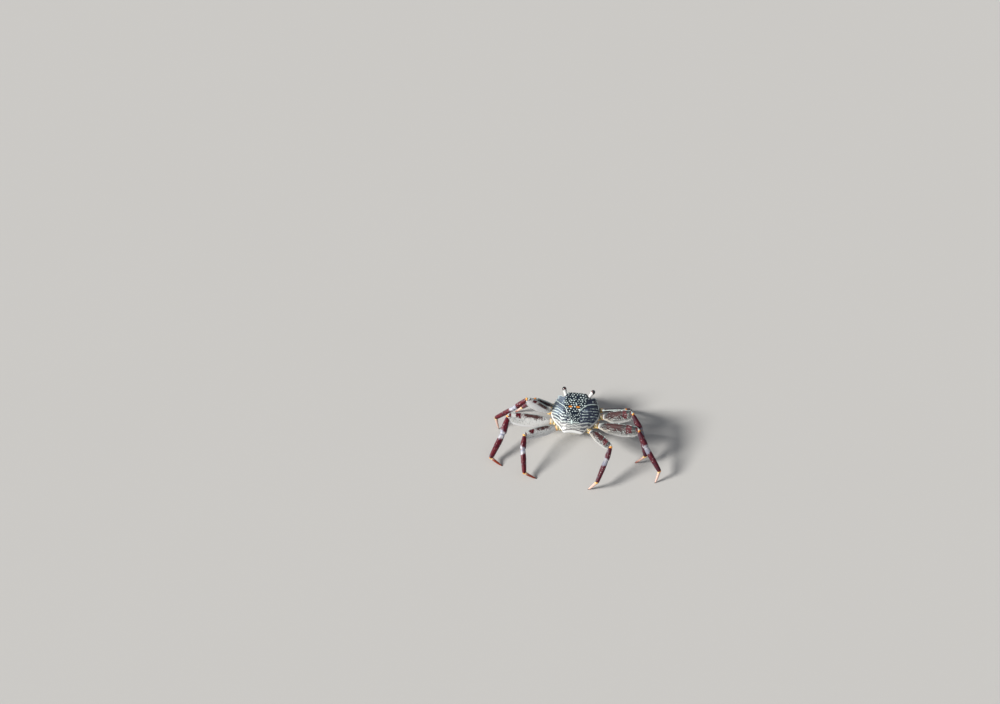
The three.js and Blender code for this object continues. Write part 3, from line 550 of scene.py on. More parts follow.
def finish_piece(name, bm, matrix, slot, nodes=(), fields=None):
    """Sets a drawing in its place in the frame as a finished piece, which replaces the frame's nodes.

    Its own millimetres stay on it as the attribute "own", and fields(x, y, z) may add more.
    """
    mesh = bpy.data.meshes.new(name)
    bm.to_mesh(mesh)
    bm.free()
    own = np.empty(len(mesh.vertices) * 3, np.float32)
    mesh.vertices.foreach_get("co", own)
    mesh.attributes.new("own", "FLOAT_VECTOR", "POINT").data.foreach_set("vector", own)
    if fields:
        x, y, z = own.reshape(-1, 3).astype(float).T
        for key, values in fields(x, y, z).items():
            flat = np.broadcast_to(values, x.shape).astype(np.float32)
            mesh.attributes.new(key, "FLOAT", "POINT").data.foreach_set("value", flat)
    mesh.transform(Matrix.Scale(MM, 4) @ CRAB @ matrix)
    mesh.polygons.foreach_set("use_smooth", [True] * len(mesh.polygons))
    mesh.set_sharp_from_angle(angle=CREASE)
    mesh.materials.append(material(slot))
    piece = bpy.data.objects.new(name, mesh)
    bpy.context.scene.collection.objects.link(piece)
    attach(piece, "root")
    if nodes:
        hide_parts(*nodes)
    return piece


# ---------------------------------------------------------------- shader expressions

class Wire:
    """A shader socket. Arithmetic on it adds Math nodes."""

    def __init__(self, shader, socket):
        self.shader = shader
        self.socket = socket

    def math(self, operation, *values):
        return self.shader.node("Math", {"operation": operation}, dict(enumerate(values)))

    def __add__(self, other):
        return self.math("ADD", self, other)

    def __sub__(self, other):
        return self.math("SUBTRACT", self, other)

    def __rsub__(self, other):
        return self.math("SUBTRACT", other, self)

    def __mul__(self, other):
        return self.math("MULTIPLY", self, other)

    __radd__, __rmul__ = __add__, __mul__

    def __abs__(self):
        return self.math("ABSOLUTE", self)


def paint(colour):
    """The value of a colour that is given by its name; any other colour as it is."""
    if not isinstance(colour, str):
        return colour
    return TINTS.get(colour) or tuple(getattr(bpy.context.scene.crab_colours, colour))


class Shader:
    """One material, built from expressions on its wires. Its skin is the colour laid down so far."""

    def __init__(self, name, skin):
        self.material = bpy.data.materials.new(name)
        self.material.use_nodes = True
        self.tree = self.material.node_tree
        self.tree.nodes.clear()
        self.skin = skin

    def node(self, kind, settings=None, values=None, out=0):
        """Adds a node of a type, with its settings, its sockets' values or links, and gives an output."""
        node = self.tree.nodes.new("ShaderNode" + kind)
        for key, value in (settings or {}).items():
            setattr(node, key, value)
        for key, value in (values or {}).items():
            socket = node.inputs[key]
            if isinstance(value, Wire):
                self.tree.links.new(value.socket, socket)
            elif socket.type == "RGBA":
                socket.default_value = (*value, 1)
            else:
                socket.default_value = value
        return Wire(self, node.outputs[out])

    def field(self, name):
        return self.node("Attribute", {"attribute_name": name}, out="Fac")

    def own(self):
        return self.node("Attribute", {"attribute_name": "own"}, out="Vector")

    def noise(self, place, scale, detail=2.0):
        """Noise from about 0 to 1; scale counts its waves in a millimetre."""
        return self.node("TexNoise", {}, {"Vector": place, "Scale": scale, "Detail": detail})

    def waver(self, place, scale, detail=2.0):
        """Noise to either side of 0."""
        return self.noise(place, scale, detail) - 0.5

    def cells(self, place, scale, spread=1.0):
        """Distance to the nearest of many scattered points, in units of their spacing."""
        return self.node("TexVoronoi", {}, {"Vector": place, "Scale": scale, "Randomness": spread})

    def smooth(self, value, low, high):
        """Rises smoothly from 0 at low to 1 at high."""
        return self.node("MapRange", {"interpolation_type": "SMOOTHSTEP"},
                         {"Value": value, "From Min": low, "From Max": high})

    def near(self, value, centre, reach):
        """1 at centre, falling to 0 at reach away from it."""
        return self.smooth(abs(value - centre), reach, 0.0)

    def stretched(self, place, factors):
        return self.node("VectorMath", {"operation": "MULTIPLY"}, {0: place, 1: factors})

    def mix(self, share, a, b):
        """Colour b laid over colour a by share."""
        return self.node("Mix", {"data_type": "RGBA"}, {0: share, 6: paint(a), 7: paint(b)}, out=2)

    def lay(self, share, colour):
        """Lays a colour over the skin by share."""
        self.skin = self.mix(share, self.skin, colour)

    def bumped(self, height, distance, strength=1.0):
        """A normal bent by height, whose full range stands for distance in metres."""
        return self.node("Bump", {}, {"Strength": strength, "Distance": distance, "Height": height})

    def surface(self, roughness, normal=None, coat=(0.0, 0.03), specular=0.5, scatter=0.0):
        """Ends the material in one Principled shader. coat is its weight and its roughness."""
        sockets = {
            "Base Color": self.skin, "Roughness": roughness, "Specular IOR Level": specular,
            "Coat Weight": coat[0], "Coat Roughness": coat[1],
            "Subsurface Weight": scatter, "Subsurface Scale": SCATTER_REACH,
        }
        if normal is not None:
            sockets["Normal"] = normal
        shell = self.node("BsdfPrincipled", {}, sockets)
        output = self.tree.nodes.new("ShaderNodeOutputMaterial")
        self.tree.links.new(shell.socket, output.inputs["Surface"])
        return self.material


SCATTER_REACH = 0.0008  # metres that light spreads in the shell
# Heights of the shell's finest relief, in metres.
FINE_RELIEF, SOFT_RELIEF, FACET_RELIEF = 0.00005, 0.00006, 0.00001
FOLD_RELIEF, PEARL_RELIEF = 0.00012, 0.0001
FLOOR_GRAIN = 900.0  # waves in a metre


def carapace_material():
    """Dark front with pale grains, barred sides and a cream rear."""
    s = Shader("carapace shell", "brow_dark")
    own = s.own()
    grain = s.waver(own, 1.5, 3.0)
    patch = s.waver(own, 0.33)
    dashes = s.waver(s.stretched(own, (0.5, 1.1, 1)), 0.8)
    gill, fair = s.field("gill"), s.field("fair")
    s.lay(gill, "gill_dark")
    # The pale clouds include painted sheen over the left front.
    clouds = s.smooth(patch + grain * 0.3 + s.field("haze") * 0.6, 0.0, 0.5) * 0.9
    s.lay(clouds * gill, "gill_pale")
    # The fair share holds the pale rear and flanks, with painted light that makes the left flank paler.
    s.lay(s.smooth(fair, 0.25, 0.9) * 0.8, "rear_slate")
    cream = s.mix(s.smooth(fair + patch * 0.5, 0.3, 0.9), "pale_mark", "rear_cream")
    bars = s.smooth(s.field("stripe") + fair * 0.75 + grain * 1.1 + dashes * 1.9, 0.25, 0.75)
    s.lay(bars, cream)
    s.lay(s.smooth(s.field("fine") + grain * 0.8, 0.45, 0.95) * s.smooth(fair, 0.15, 0.6) * 0.6, "rear_line")
    s.lay(s.smooth(s.noise(own, 2.3), 0.54, 0.63) * s.smooth(fair, 0.1, 0.5) * 0.6, "pepper")
    s.lay(s.smooth(s.field("vein") + grain * 0.5, -0.12, 0.16), "pale_mark")
    s.lay(s.smooth(s.field("dots") + grain * 0.22, -0.08, 0.10), "pale_mark")
    s.lay(s.smooth(s.field("rust") + grain * 0.6, -0.15, 0.2) * 0.92, "rust")
    s.lay(s.smooth(s.field("band") + grain * 0.7, 0.4, 0.65) * 0.9, "shell_white")
    s.lay(s.smooth(s.field("seam"), 0.4, 0.8) * 0.8, "rear_seam")
    s.lay(s.smooth(s.cells(own, 1.9), 0.30, 0.18) * s.smooth(grain, 0.05, 0.2) * 0.35, "pale_mark")
    height = s.noise(own, 3.2, 3.0) * 0.6 + s.cells(own, 2.6) * 0.4
    rough = s.smooth(grain + bars * 0.3, -0.5, 0.6) * 0.2 + 0.27
    return s.surface(rough, s.bumped(height, FINE_RELIEF), (0.35, 0.2))


def thigh_material():
    """Pale with fine dark speckles, brown and maroon clouds above, white along the folding edge."""
    s = Shader("thigh shell", "thigh_cream")
    own = s.own()
    along, across, tone = s.field("along"), s.field("across"), s.field("tone")
    # Painted light and shade: the first share grows on the lit legs on the left, the second on the shaded
    # legs on the right.
    lit_leg, shaded_leg = s.smooth(tone, 0.0, 1.2), s.smooth(tone, 0.0, -1.2)
    grain = s.waver(own, 1.25, 3.0)
    fine = s.waver(own, 1.5, 3.0)
    patch = s.waver(own, 0.28)
    coarse = s.waver(s.stretched(own, (1, 0.6, 1)), 0.75)
    low, high = s.smooth(across, -0.3, 0.6), across * -1
    basal = s.smooth(along + patch * 0.3, 0.45, 0.1)
    # Painted light whitens the lit legs, and painted shade greys the shaded ones.
    s.lay(lit_leg, "thigh_lit_white")
    s.lay(shaded_leg * 0.9, "thigh_shade_grey")
    s.lay(basal * low * s.smooth(tone, 0.8, -0.4), "thigh_base")
    dense = fine + grain * 0.5 + coarse * 0.5 - lit_leg * 0.11 + shaded_leg * 0.08 - low * 0.05
    speckle = s.smooth(dense - basal * low * 0.12, -0.08, 0.04)
    # Painted shade: the speckles turn near black on the shaded legs.
    dark = s.mix(shaded_leg, "thigh_olive", "thigh_speckle_shade")
    s.lay(speckle * (0.85 - lit_leg * 0.27 + shaded_leg * 0.1 - low * 0.15), dark)
    # The dark upper part reaches further down on the shaded legs, as painted shade.
    upper = s.smooth(high + patch * 0.7 + grain * 0.5 - tone * 0.2, 0.42, 0.86)
    s.lay(upper * 0.85, "thigh_dark")
    brown = s.near(along + patch * 0.2, 0.42, 0.38)
    brown = brown * s.smooth(high + patch * 0.7 + grain * 1.1 - lit_leg * 0.36, -0.25, 0.2)
    s.lay(s.smooth(brown + grain * 1.3 + fine * 0.7, 0.05, 0.55) * 0.95, "thigh_brown")
    red = s.near(along + patch * 0.12, 0.77, 0.13)
    red = red * s.smooth(high + patch * 0.9 + grain * 0.8 - tone * 0.2, -0.3, 0.1)
    red = red + s.near(along, 0.98, 0.07) * s.smooth(high + grain * 1.5, -0.3, 0.3)
    s.lay(s.smooth(red + grain * 0.9, 0.3, 0.55), "maroon")
    # On the first leg on the right this slate is painted shade.
    s.lay(s.field("slate") * s.smooth(abs(across) + grain * 0.3, 0.85, 0.6), "gill_dark")
    waves = s.node("TexWave", {"bands_direction": "Y"},
                   {"Vector": own, "Scale": 0.42, "Distortion": 4.0, "Detail": 2.0, "Detail Scale": 1.4},
                   out="Fac")
    rows = s.smooth(waves + grain * 0.8, 0.62, 0.85) * s.smooth(along, 0.5, 0.85)
    s.lay(rows * s.smooth(across, -0.45, 0.1) * 0.8, "thigh_dark")
    mottle = s.smooth(fine + grain * 0.5, -0.05, 0.06) * s.smooth(across, 0.9, -0.3)
    s.lay(shaded_leg * mottle * 0.8, "thigh_shade")
    pearl = s.smooth(s.cells(own, 0.66, 0.9) + grain * 0.1, 0.27, 0.18) * s.smooth(high, -0.8, -0.3)
    pearl = pearl * s.smooth(along, 0.06, 0.3) * (s.smooth(across, -0.5, 0.2) * 0.55 + 0.3)
    s.lay(pearl, "pale_mark")
    # Painted light and shade: the white edge is brighter on the lit legs, and weaker and broken on the shaded
    # ones.
    edge = s.smooth(across + s.field("fair") + grain * 0.25 + dense * shaded_leg * 1.4, 0.62, 0.95)
    s.lay(edge * (1 - shaded_leg * 0.4), s.mix(lit_leg, "shell_white", "edge_lit_white"))
    s.lay(s.smooth(high + grain * 0.2 - dense * shaded_leg * 0.6, 0.86, 0.97) * 0.75, "pale_mark")
    s.lay(s.smooth(along + patch * 0.15, 0.16, 0.0) * 0.85, "shell_white")
    height = s.noise(own, 2.6, 3.0) * 0.6 + s.cells(own, 2.0) * 0.4
    return s.surface(grain * 0.3 + 0.64, s.bumped(height, SOFT_RELIEF), (0.05, 0.3), specular=0.12)


def shin_material():
    """Maroon; on the lit side a pale streak under a painted highlight and lilac sheen, painted slate shade
    opposite, and painted shade over the legs on the right; lilac and pearly cuffs and a few white grains.
    """
    s = Shader("shin shell", "maroon")
    own = s.own()
    along, streak, ring = s.field("along"), s.field("streak"), s.field("ring")
    grain = s.waver(s.stretched(own, (1, 0.45, 1)), 1.2, 3.0)
    patch = s.waver(own, 0.3)
    s.lay(s.smooth(patch, -0.15, 0.3), "shin_plum")
    s.lay(s.smooth(grain, 0.05, 0.3) * 0.35, "shin_rose")
    # Painted shade: slate down the side away from the key light.
    s.lay(s.smooth(streak * -1 + patch, 0.45, 0.9) * 0.7, "shin_slate_shade")
    # Painted highlight over a real pale streak: lilac sheen and white down the side towards the key light.
    s.lay(s.smooth(streak + ring * 0.5 + grain * 0.7 + patch * 0.7, 0.75, 1.25) * 0.6, "shin_lilac_sheen")
    s.lay(s.smooth(streak + ring * 0.4 + grain * 0.5 + patch * 0.9, 1.02, 1.25) * 0.85, "shell_white")
    cuff = s.smooth(ring + grain * 1.5 + patch * 0.8 + streak * 0.25, 0.4, 0.95)
    s.lay(cuff * 0.93, s.mix(s.smooth(patch + grain * 0.7, -0.15, 0.15), "cuff_pearl", "cuff_lilac"))
    s.lay(s.smooth(s.field("tone"), 0.0, -1.4) * 0.4, "shin_shade")
    s.lay(s.smooth(s.cells(own, 0.7), 0.21, 0.12) * s.near(along, 0.52, 0.3), "shell_white")
    height = s.noise(s.stretched(own, (1, 0.3, 1)), 2.4, 3.0) * 0.6 + s.cells(own, 2.2) * 0.4
    return s.surface(grain * 0.25 + 0.46, s.bumped(height, FINE_RELIEF), (0.15, 0.25), specular=0.2)


def toe_material():
    """Pinkish white, orange-red towards a horn-brown point."""
    s = Shader("toe shell", "toe_pink")
    own = s.own()
    along, rosy = s.field("along"), s.field("fair")
    grain = s.waver(s.stretched(own, (1, 0.4, 1)), 1.3, 3.0)
    s.lay(s.smooth(along + grain * 0.3 + rosy * 0.55, 0.5, 0.9), "toe_orange")
    s.lay(s.smooth(along + grain * 0.2, 0.18, 0.05), "skin_pale")
    # Painted shade: deeper orange down the side away from the key light.
    s.lay(s.smooth(s.field("streak") + grain * 0.6, -0.3, -0.75) * 0.8, "toe_orange")
    s.lay(s.smooth(along, 0.90, 0.985), "horn")
    height = s.noise(s.stretched(own, (1, 0.25, 1)), 2.6, 3.0)
    return s.surface(grain * 0.25 + 0.36, s.bumped(height, FINE_RELIEF), (0.3, 0.25))


def underside_material():
    """Cream shell with soft grey clouds and fine pits, and a fine lilac-brown net over the face."""
    s = Shader("underside shell", "underside")
    own = s.own()
    grain = s.waver(own, 1.4, 3.0)
    cloud = s.waver(own, 0.3, 3.0)
    s.lay(s.smooth(cloud + grain * 0.5, 0.0, 0.16) * 0.4, "under_cloud")
    net = s.smooth(s.cells(s.stretched(own, (1, 1, 1.5)), 0.75) + grain * 0.35, 0.34, 0.52)
    s.lay(net * s.field("face") * 0.75, "face_net")
    s.lay(s.smooth(s.field("seam") + grain * 0.4, 0.35, 0.8) * 0.7, "under_seam")
    height = s.noise(own, 2.8, 3.0) * 0.5 + s.cells(own, 1.8) * 0.5
    return s.surface(grain * 0.2 + 0.45, s.bumped(height, SOFT_RELIEF), (0.15, 0.3))


def hip_material():
    """Cream hips with grey-brown clouds, orange round their joints."""
    s = Shader("hip shell", "hip")
    own = s.own()
    grain = s.waver(own, 1.3, 3.0)
    cloud = s.waver(own, 0.45, 3.0)
    # Painted shade: the grey-brown clouds spread wider over the hips of the shaded legs on the right.
    s.lay(s.smooth(cloud + grain * 0.6 - s.field("tone") * 0.2, -0.02, 0.12) * 0.85, "hip_cloud")
    joint = s.field("joint") + cloud * 1.2 + grain * 0.4
    s.lay(s.smooth(joint, 0.3, 0.6), "skin_pale")
    s.lay(s.smooth(joint, 0.5, 0.75), "skin")
    height = s.noise(own, 2.6, 3.0) * 0.5 + s.cells(own, 1.8) * 0.5
    return s.surface(grain * 0.2 + 0.42, s.bumped(height, SOFT_RELIEF), (0.2, 0.3))


def skin_material():
    """Soft orange joint skin with paler folds."""
    s = Shader("joint skin", "skin")
    own = s.own()
    folds = s.waver(s.stretched(own, (0.6, 2.2, 0.6)), 1.6)
    s.lay(s.smooth(folds + s.noise(own, 0.7) - 0.5, -0.1, 0.3), "skin_pale")
    return s.surface(0.4, s.bumped(folds, FOLD_RELIEF), scatter=0.15)


def claw_material():
    """Plum red with raised white dots, and white spoon-shaped tips."""
    s = Shader("claw shell", "claw")
    own = s.own()
    grain = s.waver(own, 1.3, 3.0)
    s.lay(s.smooth(s.waver(own, 0.4), -0.1, 0.3), "claw_plum")
    dots = s.smooth(s.cells(own, 0.95) + grain * 0.2, 0.32, 0.20)
    s.lay(dots, "shell_white")
    s.lay(s.smooth(s.field("tip") + grain * 0.2, 0.55, 0.8), "shell_white")
    height = dots * 0.7 + s.noise(own, 2.4, 3.0) * 0.3
    return s.surface(grain * 0.25 + 0.34, s.bumped(height, PEARL_RELIEF), (0.35, 0.22))


def stalk_material():
    """White eyestalk with faint clouds, a dark mark behind and dark bands under the eye and at the root."""
    s = Shader("eyestalk shell", "shell_white")
    own = s.own()
    along, top = s.field("along"), s.field("streak")
    grain = s.waver(own, 1.7, 3.0)
    s.lay(s.smooth(grain, 0.05, 0.3) * 0.4, "stalk_cloud")
    wavy = along + grain * 0.14
    marks = s.near(wavy, 0.80, 0.08) * s.smooth(top + grain * 1.5, 0.75, 0.35)
    marks = marks + s.smooth(wavy, 0.88, 0.97) + s.smooth(wavy, 0.10, 0.02)
    marks = marks + s.near(wavy, 0.45, 0.10) * s.smooth(top + grain * 2.5, 0.35, -0.1) * 0.7
    s.lay(s.smooth(marks, 0.2, 0.7), "stalk_band")
    return s.surface(grain * 0.2 + 0.4, s.bumped(s.noise(own, 2.8, 3.0), SOFT_RELIEF), (0.3, 0.2))


def cornea_material():
    """Near-black glossy eye with a teal and maroon sheen and faint facets."""
    s = Shader("cornea", "cornea")
    own = s.own()
    s.lay(s.smooth(s.waver(own, 0.55), -0.1, 0.25), "cornea_red")
    s.lay(s.smooth(s.waver(own, 0.8, 1.0), 0.1, 0.3), "cornea_teal")
    return s.surface(0.12, s.bumped(s.cells(own, 7.0, 0.2), FACET_RELIEF, 0.5), (1.0, 0.05))


def horn_material():
    """Dark brown horn of bristles and spines."""
    s = Shader("horn", "horn")
    s.lay(s.smooth(s.waver(s.own(), 2.0), 0.0, 0.3), "horn_pale")
    return s.surface(0.45)


def floor_material():
    """Plain pale matt floor with the faintest unevenness."""
    pale = tuple(bpy.context.scene.crab_stage.floor)
    s = Shader("floor", pale)
    place = s.node("TexCoord", out="Object")
    s.lay(s.noise(place, 6.0, 3.0) * 0.12, tuple(0.9 * channel for channel in pale))
    return s.surface(0.9, s.bumped(s.noise(place, FLOOR_GRAIN), FINE_RELIEF), specular=0.1)


# What makes the material of each slot. It is made once and shared by the slot's pieces.
FINISHES = {
    "carapace_shell": carapace_material,
    "thigh_shell": thigh_material,
    "shin_shell": shin_material,
    "toe_shell": toe_material,
    "underside_shell": underside_material,
    "hip_shell": hip_material,
    "joint_skin": skin_material,
    "claw_shell": claw_material,
    "eyestalk_shell": stalk_material,
    "cornea": cornea_material,
    "bristle": horn_material,
    "floor": floor_material,
}
MATERIALS = {}


def material(slot):
    if slot not in MATERIALS:
        MATERIALS[slot] = FINISHES[slot]()
    return MATERIALS[slot]


# ---------------------------------------------------------------- the carapace

def half_width(v):
    plan = np.array(CARAPACE_PLAN)
    return HALF_WIDTH * through(plan[:, 0], plan[:, 1], v)


def length_share(y):
    """Share of the carapace's length at y, from the rear."""
    return np.clip((y - REAR) / (FRONT - REAR), 0, 1)


def brow_line(x):
    """The front without its notches: a straight brow, set back at its ends."""
    return FRONT - BROW_SETBACK * ramp((np.abs(x) - BROW_END) / 2.4)


def front_edge(x):
    """The front, with a round notch for each eye."""
    middle, half, depth = ORBIT
    notch = 0.5 + 0.5 * np.cos(np.pi * np.clip((np.abs(x) - middle) / half, -1, 1))
    return brow_line(x) - depth * notch


def rear_edge(x):
    return REAR + 0.5 * bump(x, 5)


def warped(x, y):
    """Plan coordinates with a slow waver, so that no line of the pattern is quite straight."""
    side = np.abs(x)
    wave = 0.16 * np.sin(0.7 * x + 0.45 * y + 1.1) + 0.10 * np.sin(1.5 * x - 1.1 * y)
    return side + 0.2 * np.sin(0.8 * y + 0.4 * x), y + wave


def cervical_y(x):
    """y of the line of the cervical ridge, carried on over the middle."""
    line = np.array(CERVICAL_LEFT + [(-3, -2), (0, -2.2)] + CERVICAL_RIGHT)
    return np.interp(x, line[:, 0], line[:, 1])


def ridge_distance(x, y):
    return np.minimum(distance_to_line(x, y, CERVICAL_LEFT), distance_to_line(x, y, CERVICAL_RIGHT))


def stria_phase(x, y):
    """Where each point lies between the gill stripes, whose pale middles are at whole turns."""
    left, right = np.array(STRIA_LEFT), np.array(STRIA_RIGHT)
    forward = np.where(x < 0, through(left[:, 0], left[:, 1], np.clip(-x, 4, 21)),
                       through(right[:, 0], right[:, 1], np.clip(x, 4, 21)))
    return 2 * np.pi * (y - forward - STRIA_START) / STRIA_SPACING


def dot_share(x, y, in_front):
    """Share of the dots' places that are taken round a plan point."""
    side = abs(x)
    if in_front:
        return 0.95 if side < 9 else 0.4 if x < 0 else 0.2
    if side < 5.5 and y > -11:
        return 0.95
    return 0.25 if side < 9 and y > -9 else 0


def dot_places():
    """Pale grains as x, y, radius, stretch and turn: bold in front, finer over the heart."""
    pick = random.Random(7)
    middle_radius = bpy.context.scene.crab_sizes.dot_radius / MM
    found = [HEART_MARK]
    for step, size, in_front in DOT_SETS:
        for row, column in itertools.product(range(-12, 15), range(-11, 12)):
            x = (column + 0.5 * (row % 2)) * step + pick.uniform(-0.22, 0.22) * step
            y = row * step * 0.87 + pick.uniform(-0.2, 0.2) * step + 4
            radius = middle_radius * size * pick.uniform(0.75, 1.2)
            stretch = max(1, pick.uniform(0.2, 1.7))
            turn = pick.uniform(-1.2, 1.2)
            line = cervical_y(x) + (0.7 if in_front else -0.5)
            spot_near = min(math.hypot(x - a, y - b) for a, b in RUST_SPOTS) < 1.5
            if (y > line) != in_front or spot_near:
                continue
            if pick.random() < dot_share(x, y, in_front) and abs(x) < 17:
                found.append((x, y, radius, stretch, turn))
    return found


def dot_field(x, y):
    """How far inside the nearest dot each plan point lies, in millimetres; negative outside."""
    field = np.full(np.shape(x), -9.0)
    for cx, cy, radius, stretch, turn in dot_places():
        dx, dy = x - cx, y - cy
        close = (np.abs(dx) < 2.2) & (np.abs(dy) < 2.2)
        c, t = math.cos(turn), math.sin(turn)
        away = np.hypot((dx[close] * c + dy[close] * t) / stretch, dy[close] * c - dx[close] * t)
        field[close] = np.maximum(field[close], radius - away)
    return field


def carapace_pattern(x, y):
    """Fields of the pattern at plan points: masks from 0 to 1, and distances in millimetres."""
    side, wy = warped(x, y)
    # The left side, which gets painted light and sheen.
    left = ramp((-1 - x) / 2)
    u = np.abs(x) / half_width(length_share(y))
    line = cervical_y(x)
    gills = ramp((line - y - GILL_BEHIND) / 1.6) * ramp((side - GILL_SIDE) / 2)
    rear = ramp((PALE_REAR - y) / 2)
    phase = stria_phase(x, wy)
    heart = rear * np.cos(2 * np.pi * (wy - REAR_BAR_START) / REAR_BAR_SPACING + np.pi)
    heart += (1 - rear) * (0.35 * np.cos(phase) - 0.65)
    stripe = (np.cos(phase) - 0.45 * ramp((x - 4) / 3)) * gills + heart * (1 - gills)
    flank = ramp((u - 0.72) / 0.26) * ramp((7.5 - y) / 5)
    # Painted light: the flanks are fairer on the left, where the key light falls, than on the right.
    fair = ramp((PALE_REAR - y + 0.2 * np.abs(x)) / 6) + (0.05 + 0.62 * left) * flank
    slate = np.maximum(ramp((line - wy - 0.6) / 1.2) * ramp((side - 4) / 2),
                       ramp((side - 9) / 1.6) * ramp((wy - line) / 0.6))
    # Painted sheen: pale clouds over the left front, where the key light falls, and a faint pale cloud on the
    # right front.
    haze = 1.5 * left * ramp((-x - 8) / 6) * ramp((y + 4) / 3)
    haze = np.maximum(haze, 0.3 * bump(np.hypot((x - 9.5) / 4.5, (y - 1) / 2), 1))
    wide, long = RUST_RADII
    rust = np.max([1 - np.hypot((x - a) / wide, (y - b) / long) for a, b in RUST_SPOTS], axis=0)
    ahead = front_edge(x) - y
    waver = 0.2 * np.sin(1.1 * y + 0.5 * x)
    vein = VEIN_WIDTH + 0.10 * np.sin(1.1 * x + 0.9 * y) - ridge_distance(x + waver, wy)
    border = np.maximum(bump(u - 0.965, 0.02), bump(ahead - 0.35, 0.3) * (np.abs(x) > 12.6))
    border = border * ramp((y - 5) / 2)
    lip = y - rear_edge(x)
    band = np.maximum(bump(np.clip(lip - 0.5, 0, None), 0.6) * (np.abs(x) < 9),
                      ramp((u - 0.985) / 0.015) * ramp((6.5 - y) / 5))
    seam = bump(lip - 1.75, 0.3) * ramp((8.2 - np.abs(x)) / 1.5)
    return {
        "stripe": stripe, "fair": np.clip(fair, 0, 1), "haze": haze, "dots": dot_field(x, y),
        "vein": np.maximum(vein, border - 0.5), "rust": rust, "band": band, "seam": seam,
        "gill": slate, "fine": np.cos(2 * phase + 1.2) * ramp((side - 4) / 2),
    }


def carapace_top(x, y, half):
    """Height of the back before its finer relief."""
    u = np.minimum(1, np.abs(x) / half)
    across = (1 - u ** 2.5) ** 0.75
    behind = 1 - np.clip((SUMMIT_Y - y) / (SUMMIT_Y - REAR + 0.5), 0, 1) ** 2.6
    ahead = 1 - BROW_DROP * (np.clip(y - SUMMIT_Y, 0, None) / (FRONT - SUMMIT_Y)) ** 2
    return MARGIN_Z + RIM + DOME * across * behind * ahead


def carapace_relief(x, y, half):
    """Lobes, grooves, gill ridges and grains of the back."""
    sizes = bpy.context.scene.crab_sizes
    side = np.abs(x)
    u = np.minimum(1, side / half)
    relief = np.zeros(np.shape(x))
    for lobe in BROW_LOBES:
        relief += 1.1 * bump(np.hypot((side - lobe) * 0.95, y - BROW_Y), 1.75)
    # The cervical ridge and the groove behind it, then the heart region in its groove.
    relief += 0.45 * bump(ridge_distance(x, y), 0.8)
    relief -= 0.45 * bump(ridge_distance(x, y + 1.7), 1.0)
    relief -= 0.40 * bump(distance_to_line(side, y, HEART_GROOVE), 0.9)
    relief += 0.35 * bump(np.hypot(x / 4, (y + 5.5) / 4.5), 1)
    # The grooves between the brow's lobes.
    relief -= 0.30 * bump(x, 0.55) * ramp((y - 8) / 4)
    relief -= 0.25 * bump(side - 4.75, 0.6) * ramp((y - 11) / 3)
    pattern = carapace_pattern(x, y)
    ridge = np.clip(pattern["stripe"], -1, 1)
    relief += sizes.ridge_height / MM * ridge * ramp((y + 15) / 3)
    relief += sizes.dot_height / MM * ramp((pattern["dots"] + 0.1) / 0.4)
    relief += 0.5 * bump(y - rear_edge(x) - 0.7, 0.8)
    return relief * ramp((0.985 - u) / 0.09)


def margin_teeth(x_half, y):
    """Two forward-pointing teeth of each side margin, the one beside the eye the larger."""
    stand = np.zeros(np.shape(y))
    for tip, reach in MARGIN_TEETH:
        rise = np.clip((y - tip + TOOTH_LENGTH) / TOOTH_LENGTH, 0, 1) ** 1.6
        fall = ramp((tip + TOOTH_END - y) / TOOTH_END)
        stand = np.maximum(stand, reach * rise * fall)
    return x_half + stand


# The rolled edge: how far it stands out, and the share of the drop to the lower edge.
CARAPACE_EDGE = [(0, 0), (0.14, 0.05), (0.25, 0.14), (0.32, 0.26), (0.36, 0.4), (0.37, 0.55), (0.34, 0.7),
                 (0.24, 0.84), (0.08, 0.95), (-0.2, 1), (-0.7, 1.01), (-1.3, 1.02)]


def plan_sheet(columns, rows, place, edge, foot):
    """A sheet over the plan of the body, with its border rolled down or up to foot and closed.

    place(u, v) gives its points for u from -1 to 1 and v from 0 to 1.
    """
    turns = len(edge) - 1
    profile = np.array(edge, float)

    def shape(u, v):
        i = np.rint(u * (columns + 2 * turns)).astype(int) - turns
        j = np.rint(v * (rows + 2 * turns)).astype(int) - turns
        cu = np.clip(i, 0, columns) * 2 / columns - 1
        cv = np.clip(j, 0, rows) / rows
        x, y, z = place(cu, cv)
        over_u = np.maximum(np.maximum(-i, i - columns), 0)
        over_v = np.maximum(np.maximum(-j, j - rows), 0)
        k = np.maximum(over_u, over_v)
        step = 0.004
        tilt = half_width(np.clip(cv + step, 0, 1)) - half_width(np.clip(cv - step, 0, 1))
        tilt = tilt / (2 * step * (FRONT - REAR))
        length = np.hypot(1, tilt)
        out_x = over_u * np.sign(cu) / length
        out_y = over_u * -tilt / length + over_v * np.where(cv > 0.5, 1, -1)
        norm = np.maximum(np.hypot(out_x, out_y), 1e-9)
        out = profile[k, 0]
        z = z + (foot - z) * profile[k, 1]
        return np.stack([x + out * out_x / norm, y + out * out_y / norm, z], axis=-1)

    bm = shaped_grid(columns + 2 * turns, rows + 2 * turns, shape)
    border = [e for e in bm.edges if e.is_boundary]
    bmesh.ops.triangle_fill(bm, use_beauty=True, edges=border)
    bmesh.ops.recalc_face_normals(bm, faces=bm.faces[:])
    return bm


def carapace_place(u, v):
    x_plain = half_width(v)
    y_guess = REAR + v * (FRONT - 1.6 - REAR)
    x = u * margin_teeth(x_plain, y_guess)
    rear = rear_edge(x)
    y = rear + v * (front_edge(x) - rear)
    z = carapace_top(x, y, x_plain) + carapace_relief(x, y, x_plain)
    return x, y, z


